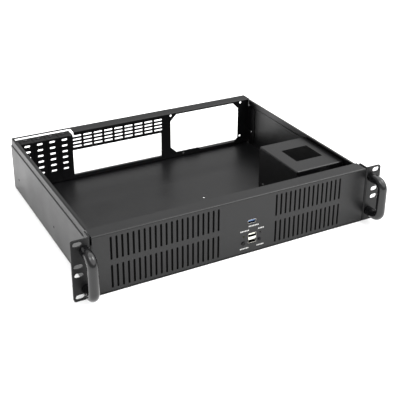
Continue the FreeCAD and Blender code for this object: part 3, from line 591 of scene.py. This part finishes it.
class Scatter(NodeTool):
    """Copies of one piece on points, each turned by the point's own angles."""

    title = "scatter"
    sockets = {"Piece": "Object"}

    def build(self) -> Socket:
        """Place the piece on every point."""
        tree, entry = self.tree, self.entry
        source = add(tree, "GeometryNodeObjectInfo", {"Object": entry["Piece"]}).outputs["Geometry"]
        angles = add(tree, "GeometryNodeInputNamedAttribute", {"Name": "turn"}, data_type="FLOAT_VECTOR")
        turn = add(tree, "FunctionNodeEulerToRotation", {"Euler": angles.outputs["Attribute"]})
        inputs = {"Points": entry["Geometry"], "Instance": source, "Rotation": turn.outputs["Rotation"]}
        return add(tree, "GeometryNodeInstanceOnPoints", inputs).outputs["Instances"]

    def place(self, mesh: Mesh, spots: list[tuple[Point, Point]], finish: Finish) -> Mesh:
        """Copies of a mesh at places.

        Args:
            mesh: One copy, about the origin with its outer side to +Z, which is removed.
            spots: (place in millimetres, direction of the outer side) of each copy.
            finish: Finish of the copies.

        Returns:
            One mesh that holds them all.
        """
        points = bpy.data.meshes.new("points")
        points.from_pydata([tuple(millimetres(spot)) for spot, _ in spots], [], [])
        turns = points.attributes.new("turn", "FLOAT_VECTOR", "POINT")
        for i, (_, axis) in enumerate(spots):
            turns.data[i].vector = Vector(axis).to_track_quat("Z", "Y").to_euler()
        source = placed("source", mesh)
        made = self.run(points, finish, Piece=source)
        bpy.data.objects.remove(source)
        bpy.data.meshes.remove(mesh)
        return made


class Row(NodeTool):
    """Rows of copies of the starting piece at even steps."""

    title = "row"
    sockets = {"Count": "Int", "Step": "Vector", "Rows": "Int", "Row Step": "Vector"}

    def build(self) -> Socket:
        """Place the piece along a line, and that line along another."""
        shape = self.entry["Geometry"]
        for count, step in (("Count", "Step"), ("Rows", "Row Step")):
            inputs = {"Start Location": (0, 0, 0), "Count": self.entry[count], "Offset": self.entry[step]}
            line = add(self.tree, "GeometryNodeMeshLine", inputs, mode="OFFSET").outputs["Mesh"]
            copies = add(self.tree, "GeometryNodeInstanceOnPoints", {"Points": line, "Instance": shape})
            shape = copies.outputs["Instances"]
        return shape

    def lay(
        self, mesh: Mesh, finish: Finish, count: int, step: float, rows: int = 1, row_step: float = 0
    ) -> Mesh:
        """Copies of a mesh at even steps along X, in one row or in rows above each other.

        Args:
            mesh: The first copy, in place, which is removed.
            finish: Finish of the copies.
            count: Copies in a row.
            step: Millimetres from copy to copy.
            rows: Number of rows.
            row_step: Millimetres from row to row.

        Returns:
            One mesh that holds them all.
        """
        steps = {"Step": millimetres((step, 0, 0)), "Row_Step": millimetres((0, 0, row_step))}
        return self.run(mesh, finish, Count=count, Rows=rows, **steps)


@dataclass
class Tools:
    """The Geometry Nodes tools that the sub-assemblies share."""

    bar: BentBar
    scatter: Scatter
    row: Row


# Sub-assemblies


@dataclass
class Assembly:
    """Group of pieces that the shared tools help to make."""

    tools: Tools


@dataclass
class SheetMetal:
    """Folded and punched sheet pieces, which keep their own solids and get their coat."""

    coats: tuple[tuple[Finish, tuple[str, ...]], ...] = (
        (POWDER_COAT, ("base_tray", "front_panel", "drive_bracket")),
        (REAR_COAT, ("rear_panel",)),
        (COVER_COAT, ("slot_cover_1", "slot_cover_2", "slot_cover_3", "slot_cover_4")),
        (EAR_COAT, ("ear_left", "ear_right")),
        # The sheets behind the vents get near-black cloth as painted shade.
        (VENT_SHADE_MESH, ("vent_filters",)),
    )

    def dress(self) -> None:
        """Coat every sheet piece and give the sheets behind the vents their near-black cloth of painted
        shade.
        """
        for finish, names in self.coats:
            for name in names:
                coat_node(name, finish)


def coat_node(name: str, finish: Finish) -> None:
    """Give a frame node a finish through its material slots.

    Args:
        name: Node name.
        finish: Finish for every slot.
    """
    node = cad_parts[name]
    if not node.material_slots:
        node.data.materials.append(finish.material())
    for slot in node.material_slots:
        slot.material = finish.material()
    LOG.info("%s: %s", name, finish.name)


class Side(Enum):
    """Side of the case, as the sign of its x."""

    LEFT = -1
    RIGHT = 1


@dataclass
class Grips(Assembly):
    """Grab handles: round bars bent into a bow on the ears."""

    reach: float = 28.0
    bar_radius: float = 7.0
    bend_radius: float = 11.0
    bend_steps: int = 14

    def build(self) -> None:
        """Sweep both bars."""
        front = EAR_FACE - self.reach
        low, high = GRIP_HEIGHTS
        for side in Side:
            node, x = "handle_" + side.name.lower(), side.value * GRIP_X
            chain = [(x, EAR_FACE, low), (x, front, low), (x, front, high), (x, EAR_FACE, high)]
            line = bpy.data.meshes.new("line")
            line.from_pydata([tuple(millimetres(p)) for p in chain], [(0, 1), (1, 2), (2, 3)], [])
            bar = self.tools.bar.run(
                line,
                GRIP_ENAMEL,
                Bar_Radius=self.bar_radius * MM,
                Bend_Radius=self.bend_radius * MM,
                Steps=self.bend_steps,
            )
            piece(node + "_bar", bar, GRIP_ENAMEL, "handle_black", node)


class Head(Enum):
    """Shape of a screw's head."""

    PAN = "pan"
    FLAT = "flat"


@dataclass
class Screw:
    """Cross-recessed machine screw about the origin, head to +Z and seat at z = 0.

    The recess is measured in shares of the head's height and radius.
    """

    head: Head
    head_radius: float
    head_height: float
    shank_radius: float
    length: float
    thread_pitch: float = 0.8
    thread_depth: float = 0.16
    recess_depth: float = 0.55
    recess_reach: float = 0.52
    recess_width: float = 0.15
    recess_edge: float = 0.02
    cutter_rise: float = 0.5

    def profile(self) -> list[Spot]:
        """Outline from the shank's tip to the top of the head, in millimetres."""
        rings = [(self.shank_radius * 0.6, -self.length), (self.shank_radius, -self.length + 0.4)]
        radius, height = self.head_radius, self.head_height
        start = height if self.head is Head.FLAT else 0.0
        depth = -self.length + 0.6
        while depth + self.thread_pitch < -start - 0.2:
            rings.append((self.shank_radius - self.thread_depth, depth + self.thread_pitch / 2))
            rings.append((self.shank_radius, depth + self.thread_pitch))
            depth += self.thread_pitch
        if self.head is Head.FLAT:
            rim = [(radius - 0.1, -0.12), (radius, -0.04), (radius - 0.05, 0.0), (0.25 * radius, 0.0)]
            return rings + [(self.shank_radius, -start)] + rim
        turns = (0.0, 0.35, 0.7, 1.05, 1.35)
        dome = [(radius * math.cos(a), height * (0.45 + 0.55 * math.sin(a))) for a in turns]
        return rings + [(self.shank_radius, 0.0), (radius * 0.97, 0.0), (radius, 0.08 * height)] + dome

    def mesh(self) -> Mesh:
        """Turn the screw and sink its cross recess.

        Returns:
            Mesh of one screw.
        """
        body = placed("screw", lathe(self.profile(), segments=24))
        top = self.head_height if self.head is Head.PAN else 0.0
        floor = top - self.recess_depth * self.head_height
        reach, width = self.recess_reach * self.head_radius, self.recess_width * self.head_radius
        bars = [
            moulded_block((-along, -across, floor), (along, across, top + self.cutter_rise), self.recess_edge)
            for along, across in ((reach, width), (width, reach))
        ]
        cutter = placed("cutter", together(bars))
        recess = body.modifiers.new("recess", "BOOLEAN")
        recess.operation = "DIFFERENCE"
        recess.solver = "EXACT"
        recess.use_self = True
        recess.object = cutter
        graph = bpy.context.evaluated_depsgraph_get()
        made = bpy.data.meshes.new_from_object(body.evaluated_get(graph), depsgraph=graph)
        for item in (body, cutter):
            shape = item.data
            bpy.data.objects.remove(item)
            bpy.data.meshes.remove(shape)
        made.set_sharp_from_angle(angle=math.radians(TURNED_EDGE))
        return made


@dataclass
class Screws(Assembly):
    """Every screw of the case, in the five sets that the frame holds."""

    cover_centres: tuple[float, ...] = (-133.5, -153.82, -174.14, -194.46)
    cover_y: float = 164.0
    cover_seat: float = 81.8
    ear_outside: float = 217.25
    ear_y: float = -163.0
    ear_heights: Spot = (22.0, 62.0)
    grip_y: float = -172.5
    bracket_x: Spot = (133.6, 203.9)
    bracket_y: Spot = (-113.0, -34.0)

    def build(self) -> None:
        """Drive every screw home."""
        up, down, back = (0.0, 0.0, 1.0), (0.0, 0.0, -1.0), (0.0, 1.0, 0.0)
        signs = [side.value for side in Side]
        covers = [((x, self.cover_y, self.cover_seat), up) for x in self.cover_centres]
        outside, heights = self.ear_outside, self.ear_heights
        ears = [((s * outside, self.ear_y, z), (float(s), 0.0, 0.0)) for s in signs for z in heights]
        grips = [((s * GRIP_X, self.grip_y, z), back) for s in signs for z in GRIP_HEIGHTS]
        bracket = [((x, y, 0.0), down) for x in self.bracket_x for y in self.bracket_y]
        board = [((x, BOARD_BACK, z), back) for x in POST_X for z in POST_Z]
        # Each screw by its head's radius and height, its shank's radius and its length.
        for node, screw, spots in (
            ("slot_cover_screws", Screw(Head.PAN, 3.2, 1.6, 1.75, 6.0), covers),
            ("ear_screws", Screw(Head.FLAT, 3.2, 1.25, 1.75, 6.0), ears),
            ("handle_screws", Screw(Head.FLAT, 4.0, 2.0, 2.0, 10.0), grips),
            ("drive_bracket_screws", Screw(Head.FLAT, 3.2, 1.2, 1.75, 6.0), bracket),
            ("board_screws", Screw(Head.PAN, 2.6, 1.6, 1.4, 6.0, thread_pitch=0.6, thread_depth=0.12), board),
        ):
            driven = self.tools.scatter.place(screw.mesh(), spots, BLACK_ZINC)
            piece("recessed_" + node, driven, BLACK_ZINC, "screw_black", node)


@dataclass
class Port(Assembly):
    """One port in the face: drawn shell, tongues with contacts, and near-black plates in the openings as
    painted shade.

    The tongues are given by their tops, and the web by its lower and upper side. Both run into the block by
    the root.
    """

    name: str
    x: float
    z: float
    height: float
    tongues: tuple[float, ...]
    web: Spot | None
    nylon: Finish
    slot: str
    width: float = 13.1
    wall: float = 0.4
    corner: float = 0.9
    corner_loss: float = 0.8
    proud: float = 0.3
    insert_gap: float = 0.05
    block: float = 3.0
    block_edge: float = 0.25
    root: float = 0.3
    tongue_width: float = 10.6
    tongue_height: float = 2.0
    tongue_set: float = 1.0
    tongue_edge: float = 0.3
    web_edge: float = 0.2
    contact_count: int = 4
    contact_left: float = 4.0
    contact_width: float = 1.0
    contact_set: float = 0.9
    contact_length: float = 7.5
    contact_drop: float = 0.12
    # Plates of painted shade in the openings: their gap to the shell, their set back from the face and their
    # thickness.
    lining_gap: float = 0.1
    lining_set: float = 0.2
    lining_thickness: float = 0.15
    strip_edge: float = 0.05

    def shell(self) -> Mesh:
        """Sleeve with a rolled mouth."""
        mouth = EAR_FACE - self.proud
        rolled = ((0.0, 0.35), (0.08, 0.08), (0.2, 0.0), (0.32, 0.08), (self.wall, 0.35))
        steps = [(inset, mouth + depth) for inset, depth in rolled]
        steps += [(self.wall, BOARD_FRONT), (0.0, BOARD_FRONT)]
        rings = []
        for inset, y in steps:
            width, height = self.width - 2 * inset, self.height - 2 * inset
            outline = rounded_outline(width, height, self.corner - inset * self.corner_loss)
            rings.append(ring(self.x, y, self.z, outline))
        return skin(rings, True)

    def block_across(self, half: float, depths: Spot, heights: Spot, edge: float) -> Mesh:
        """Block about the port's middle, by half its width, its front and back, and its height."""
        low = (self.x - half, depths[0], heights[0])
        return moulded_block(low, (self.x + half, depths[1], heights[1]), edge)

    def insert(self) -> Mesh:
        """Block at the back, its tongues and the web between two openings."""
        around = self.wall + self.insert_gap
        inside, tall = self.width / 2 - around, self.height / 2 - around
        back = BOARD_FRONT - self.block
        sides = (self.z - tall, self.z + tall)
        parts = [self.block_across(inside, (back, BOARD_FRONT), sides, self.block_edge)]
        for top in self.tongues:
            depths = (EAR_FACE + self.tongue_set, back + self.root)
            heights = (top - self.tongue_height, top)
            parts.append(self.block_across(self.tongue_width / 2, depths, heights, self.tongue_edge))
        if self.web is not None:
            depths = (EAR_FACE, back + self.root)
            parts.append(self.block_across(inside, depths, self.web, self.web_edge))
        return together(parts)

    def contacts(self) -> Mesh:
        """Four sprung strips under each tongue."""
        rows = []
        left, front = self.x - self.contact_left, EAR_FACE + self.tongue_set + self.contact_set
        for top in self.tongues:
            under = top - self.tongue_height
            low = (left, front, under - self.contact_drop)
            high = (left + self.contact_width, front + self.contact_length, under + self.strip_edge)
            strip = moulded_block(low, high, self.strip_edge)
            rows.append(self.tools.row.lay(strip, GOLD, self.contact_count, CONTACT_PITCH))
        return together(rows)

    def lining(self) -> Mesh:
        """Thin dark plate on the lower side of each opening: painted shade of the opening's inside."""
        half = self.width / 2 - self.wall - self.lining_gap
        depths = (EAR_FACE + self.lining_set, BOARD_FRONT - self.block + self.root)
        lows = [self.z - self.height / 2 + self.wall] + ([self.web[1]] if self.web else [])
        thick, edge = self.lining_thickness, self.strip_edge
        return together([self.block_across(half, depths, (low, low + thick), edge) for low in lows])

    def build(self) -> None:
        """Put the port together."""
        name = self.name
        piece(name + "_shell_drawn", self.shell(), NICKEL, "port_metal", name + "_shell")
        piece(name + "_insert_moulded", self.insert(), self.nylon, self.slot, name + "_insert")
        piece(name + "_contacts", self.contacts(), GOLD, "port_metal")
        # The dark plates paint the shade inside the openings.
        piece(name + "_lining", self.lining(), PORT_SHADE_PLATES, "switch_black")


@dataclass
class PushButton:
    """Dished cap with its flange and stem, the switch behind it and that switch's plunger."""

    name: str
    x: float
    z: float
    radius: float
    proud: float = 1.2
    flange_y: float = -173.5
    flange: float = 0.9
    flange_thickness: float = 1.0
    stem_radius: float = 1.5
    stem_end: float = -164.3
    travel: float = 0.8
    spare: float = 0.3
    switch_side: float = 6.0
    switch_corner: float = 0.3
    switch_front: float = -163.3
    rivet_inset: float = 0.7
    well_radius: float = 1.9
    plunger_radius: float = 1.6
    plunger_length: float = 2.4

    def cap(self) -> Mesh:
        """Turn the cap, with a shallow dish and a rounded rim."""
        r, front, flange_back = self.radius, EAR_FACE - self.proud, self.flange_y + self.flange_thickness
        profile = [
            (r * 0.02, front + 0.28), (r * 0.3, front + 0.25), (r * 0.55, front + 0.17),
            (r * 0.72, front + 0.06), (r * 0.82, front), (r * 0.92, front + 0.06),
            (r * 0.98, front + 0.2), (r, front + 0.42), (r, self.flange_y),
            (r + self.flange, self.flange_y), (r + self.flange, flange_back),
            (self.stem_radius, flange_back), (self.stem_radius, self.stem_end),
        ]
        return lathe(profile, (self.x, 0, self.z), (0, 1, 0), segments=40)

    def switch(self) -> Mesh:
        """Switch body with a well for its plunger and four riveted corners."""
        square = rounded_outline(self.switch_side, self.switch_side, self.switch_corner)
        well = circle(self.well_radius, len(square))
        floor = self.stem_end + self.plunger_length + self.travel + self.spare
        front = self.switch_front
        steps = ((well, floor), (well, front), (square, front), (square, BOARD_FRONT))
        rings = [ring(self.x, y, self.z, outline) for outline, y in steps]
        parts = [skin(rings, False)]
        out = self.switch_side / 2 - self.rivet_inset
        rivet = [(0.05, -0.25), (0.25, -0.22), (0.4, -0.1), (0.42, 0.1)]
        for u in (-out, out):
            for v in (-out, out):
                base = (self.x + u, front, self.z + v)
                parts.append(lathe(rivet, base, (0, 1, 0), segments=12))
        return together(parts)

    def plunger(self) -> Mesh:
        """Plunger with a softened tip."""
        r, start = self.plunger_radius, self.stem_end
        tip = [(r * 0.05, start), (r * 0.8, start), (r * 0.95, start + 0.1), (r, start + 0.3)]
        profile = tip + [(r, start + self.plunger_length)]
        return lathe(profile, (self.x, 0, self.z), (0, 1, 0), segments=24)

    def build(self) -> None:
        """Put the button, its switch and its plunger in place."""
        name = self.name
        piece(name + "_button_cap", self.cap(), BLACK_ABS, "button_black", name + "_button", body=name)
        piece(name + "_switch_riveted", self.switch(), BLACK_PHENOLIC, "switch_black", name + "_switch")
        plunger = name + "_switch_plunger"
        piece(name + "_plunger_tip", self.plunger(), PLUNGER_NYLON, "switch_white", plunger, body=name)


@dataclass
class Lamps:
    """The two lamps in the face and the sleeves that hold them off the board."""

    sets: tuple[tuple[str, Spot, Finish, str], ...] = (
        ("power", POWER_LAMP, GREEN_EPOXY, "lens_green"),
        ("drive", DRIVE_LAMP, RED_EPOXY, "lens_red"),
    )
    radius: float = 1.5
    proud: float = 0.6
    back: float = -170.0
    flange_radius: float = 1.9
    flange: float = 1.0
    spacer_radius: float = 2.4
    spacer_edge: float = 0.15
    bore_radius: float = 1.0
    sleeve_facets: int = 28

    def lamp(self, x: float, z: float) -> Mesh:
        """Domed lamp at (x, z)."""
        middle = EAR_FACE + self.radius - self.proud
        dome = [0.04] + [math.radians(a) for a in (15, 30, 45, 60, 75, 90)]
        profile = [(self.radius * math.sin(a), middle - self.radius * math.cos(a)) for a in dome]
        start = self.back - self.flange
        profile += [(self.radius, start), (self.flange_radius, start), (self.flange_radius, self.back)]
        return lathe(profile, (x, 0, z), (0, 1, 0))

    def spacer(self, x: float, z: float) -> Mesh:
        """Sleeve from a lamp to the board."""
        outer, edge = self.spacer_radius, self.spacer_edge
        section = (
            (self.bore_radius, self.back), (outer - edge, self.back), (outer, self.back + edge),
            (outer, BOARD_FRONT), (self.bore_radius, BOARD_FRONT),
        )
        rings = [ring(x, y, z, circle(radius, self.sleeve_facets)) for radius, y in section]
        return skin(rings, True)

    def build(self) -> None:
        """Set both lamps and their sleeves."""
        for name, spot, finish, slot in self.sets:
            piece(name + "_lamp_dome", self.lamp(*spot), finish, slot, name + "_led")
        sleeves = together([self.spacer(*spot) for _, spot, _, _ in self.sets])
        piece("lamp_sleeves", sleeves, BLACK_PHENOLIC, "switch_black", "led_spacers")


@dataclass
class ControlBoard(Assembly):
    """Board behind the face with its posts, header, resistors and solder joints."""

    header_left: float = 8.0
    header_z: float = 56.0
    header_height: float = 2.5
    header_edge: float = 0.25
    pin_pitch: float = 2.54
    pin_count: int = 9
    pin_side: float = 0.64
    pin_start: float = 2.3
    pin_end: float = 8.5
    pin_edge: float = 0.12
    resistor_count: int = 5
    resistor_step: float = 4.2
    resistor_x: Spot = (10.4, 12.0)
    resistor_z: Spot = (46.0, 47.2)
    resistor_height: float = 0.55
    resistor_edge: float = 0.08
    tin_starts: Spot = (10.1, 11.9)
    tin_width: float = 0.4
    tin_skin: float = 0.05
    stacked_leads: Spot = (27.0, 20.5)
    leads_left: float = 3.5
    lead_count: int = 4
    switch_legs: Spot = (2.25, 3.25)
    lamp_leg: float = 1.27
    post_sides: int = 6

    def header(self) -> None:
        """Two rows of square pins in a block, for the front panel's leads."""
        pitch, half = self.pin_pitch, self.pin_side / 2
        low = (self.header_left - pitch / 2, BOARD_BACK, self.header_z - pitch)
        high = (low[0] + pitch * self.pin_count, BOARD_BACK + self.header_height, self.header_z + pitch)
        block = moulded_block(low, high, self.header_edge)
        piece("header_block", block, BLACK_PHENOLIC, "switch_black")
        x, z = self.header_left, self.header_z - pitch / 2
        low = (x - half, BOARD_BACK + self.pin_start, z - half)
        pin = moulded_block(low, (x + half, BOARD_BACK + self.pin_end, z + half), self.pin_edge)
        pins = self.tools.row.lay(pin, GOLD, self.pin_count, pitch, rows=2, row_step=pitch)
        piece("header_pins", pins, GOLD, "port_metal")

    def resistors(self) -> None:
        """Chip resistors with tinned ends, in a row under the header."""
        (left, right), (bottom, top), tin = self.resistor_x, self.resistor_z, self.tin_skin
        back = BOARD_BACK + self.resistor_height
        body = moulded_block((left, BOARD_BACK, bottom), (right, back, top), self.resistor_edge)
        ends = []
        for x in self.tin_starts:
            low, high = (x, BOARD_BACK, bottom - tin), (x + self.tin_width, back + tin, top + tin)
            ends.append(moulded_block(low, high, self.resistor_edge))
        for name, mesh, finish, slot in (
            ("resistor_bodies", body, CERAMIC, "switch_black"),
            ("resistor_ends", together(ends), TIN, "port_metal"),
        ):
            row = self.tools.row.lay(mesh, finish, self.resistor_count, self.resistor_step)
            piece(name, row, finish, slot)

    def joints(self) -> None:
        """Domes of solder where the ports, switches and lamps come through."""
        spots = []
        for x, z in (SINGLE_PORT, *((STACKED_PORT[0], z) for z in self.stacked_leads)):
            spots += [(x - self.leads_left + CONTACT_PITCH * i, z) for i in range(self.lead_count)]
        across, along = self.switch_legs
        for x, z in (POWER_SWITCH, RESET_SWITCH):
            spots += [(x + u, z + v) for u in (-across, across) for v in (-along, along)]
        for x, z in (POWER_LAMP, DRIVE_LAMP):
            spots += [(x - self.lamp_leg, z), (x + self.lamp_leg, z)]
        profile = [(0.95, 0.0), (0.7, 0.2), (0.42, 0.55), (0.32, 1.1), (0.1, 1.25)]
        dome = lathe(profile, segments=12)
        places = [((x, BOARD_BACK, z), (0.0, 1.0, 0.0)) for x, z in spots]
        piece("solder_joints", self.tools.scatter.place(dome, places, TIN), TIN, "port_metal")

    def posts(self) -> None:
        """Hexagonal posts with turned ends."""
        profile = [(2.3, 0.0), (2.3, 0.25), (3.1, 0.55), (3.1, 13.45), (2.3, 13.75), (2.3, 14.0)]
        post = lathe(profile, segments=self.post_sides)
        places = [((x, FACE_INSIDE, z), (0.0, 1.0, 0.0)) for x in POST_X for z in POST_Z]
        hexes = self.tools.scatter.place(post, places, BRIGHT_ZINC)
        piece("hexagonal_posts", hexes, BRIGHT_ZINC, "post_steel", "board_posts")

    def build(self) -> None:
        """Dress the board and fit what it carries."""
        coat_node("control_board", SOLDER_MASK)
        self.header()
        self.resistors()
        self.joints()
        self.posts()


@dataclass
class FaceMarks(Assembly):
    """Plain printed dashes beside the controls, with no letters: each run by its ends and its height."""

    runs: tuple[tuple[float, float, float], ...] = (
        (14.6, 31.3, 42.6),
        (1.5, 14.3, 36.8),
        (30.2, 38.2, 35.8),
        (28.5, 40.7, 9.3),
        (1.4, 15.4, 9.2),
    )
    dash: float = 1.5
    gap: float = 0.9
    tall: float = 1.9
    ink: float = 0.05
    sunk: float = 0.01
    edge: float = 0.02

    def build(self) -> None:
        """Print each run of dashes on the face."""
        marks = []
        step = self.dash + self.gap
        for left, right, z in self.runs:
            count = max(2, round((right - left + self.gap) / step))
            low = (left, EAR_FACE - self.ink, z - self.tall / 2)
            high = (left + self.dash, EAR_FACE + self.sunk, z + self.tall / 2)
            marks.append(self.tools.row.lay(moulded_block(low, high, self.edge), PALE_INK, count, step))
        piece("printed_dashes", together(marks), PALE_INK, "port_white")


# Studio


@dataclass
class Studio:
    """Pale floor, soft white surroundings, the lamps and the camera.

    A broad even sun stands for a lit ceiling, and the softboxes put the small lights on the bent bars. Each
    softbox is given by its name, place and power in watts.
    """

    floor_side: float = 12.0
    sky: float = 0.65
    sun: float = 4.1
    sun_spread: float = 110.0
    sun_place: Point = (0.32, -0.2, 1.0)
    softbox_side: float = 0.9
    softboxes: tuple[tuple[str, Point, float], ...] = (
        ("left_softbox", (-0.9, -0.6, 2.1), 11.0),
        ("right_softbox", (1.2, -0.5, 1.9), 22.0),
    )
    camera_place: Point = (-0.504952, -1.005974, 0.599926)
    camera_right: Point = (0.87799570, -0.47858489, 0.00894731)
    camera_down: Point = (-0.18985795, -0.36534417, -0.91130544)
    camera_ahead: Point = (0.43940586, 0.79842354, -0.41163376)
    lens: float = 73.154
    sensor: float = 36.0
    clip: Spot = (0.01, 50.0)
    shift_x: float = -0.0250
    shift_y: float = -0.1250

    def floor(self) -> None:
        """Lay the floor under the case."""
        half = self.floor_side / 2
        sheet = bpy.data.meshes.new("studio_floor")
        square = [(-half, -half, 0), (half, -half, 0), (half, half, 0), (-half, half, 0)]
        sheet.from_pydata(square, [], [(0, 1, 2, 3)])
        sheet.materials.append(PAPER.material())
        ground = placed("studio_floor", sheet)

    def sky_light(self) -> None:
        """Pale surroundings that light the case, plain white where the picture shows them directly."""
        world = bpy.data.worlds.new("studio_white")
        bpy.context.scene.world = world
        world.use_nodes = True
        tree = world.node_tree
        tree.nodes.clear()
        seen = add(tree, "ShaderNodeLightPath").outputs["Is Camera Ray"]
        level = add(tree, "ShaderNodeMapRange", {"Value": seen, "To Min": self.sky, "To Max": 1.0})
        glow = add(tree, "ShaderNodeBackground", {"Color": (1, 1, 1, 1), "Strength": level.outputs["Result"]})
        add(tree, "ShaderNodeOutputWorld", {"Surface": glow.outputs["Background"]})

    def lamp(self, name: str, kind: str, place: Point, **settings: float) -> None:
        """Lamp that shines on the middle of the case.

        Args:
            name: Lamp name.
            kind: Blender's name for the kind of lamp.
            place: Its place in metres; for a sun only the direction counts.
            **settings: The lamp's own properties.
        """
        light = bpy.data.lights.new(name, kind)
        for key, value in settings.items():
            setattr(light, key, value)
        holder = placed(name, light)
        holder.location = place
        holder.rotation_euler = (-Vector(place)).to_track_quat("-Z", "Y").to_euler()

    def camera(self) -> None:
        """Stand the camera where the photograph was taken."""
        data = bpy.data.cameras.new("studio_camera")
        data.lens, data.sensor_width = self.lens, self.sensor
        data.shift_x, data.shift_y = self.shift_x, self.shift_y
        data.clip_start, data.clip_end = self.clip
        holder = placed("studio_camera", data)
        right, up, back = Vector(self.camera_right), -Vector(self.camera_down), -Vector(self.camera_ahead)
        turn = Matrix((right, up, back)).transposed().to_4x4()
        holder.matrix_world = Matrix.Translation(self.camera_place) @ turn
        bpy.context.scene.camera = holder

    def build(self) -> None:
        """Set the whole studio."""
        bpy.context.scene.view_settings.view_transform = "Standard"
        self.floor()
        self.sky_light()
        self.lamp("lit_ceiling", "SUN", self.sun_place, energy=self.sun, angle=math.radians(self.sun_spread))
        for name, place, power in self.softboxes:
            self.lamp(name, "AREA", place, energy=power, size=self.softbox_side)
        self.camera()


def main() -> None:
    """Build every sub-assembly in order."""
    logging.basicConfig(level=logging.INFO, format="%(message)s")
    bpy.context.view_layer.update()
    tools = Tools(BentBar(), Scatter(), Row())
    SheetMetal().dress()
    Grips(tools).build()
    Screws(tools).build()
    single = {"height": 5.8, "tongues": (51.8,), "web": None}
    stacked = {"height": 15.6, "tongues": (30.4, 22.2), "web": (22.2, 25.2)}
    Port(tools, "single_port", *SINGLE_PORT, nylon=BLUE_NYLON, slot="port_blue", **single).build()
    Port(tools, "stacked_port", *STACKED_PORT, nylon=WHITE_NYLON, slot="port_white", **stacked).build()
    PushButton("power", *POWER_SWITCH, radius=3.0).build()
    PushButton("reset", *RESET_SWITCH, radius=2.2).build()
    Lamps().build()
    ControlBoard(tools).build()
    FaceMarks(tools).build()
    Studio().build()


if __name__ == "__main__":
    main()
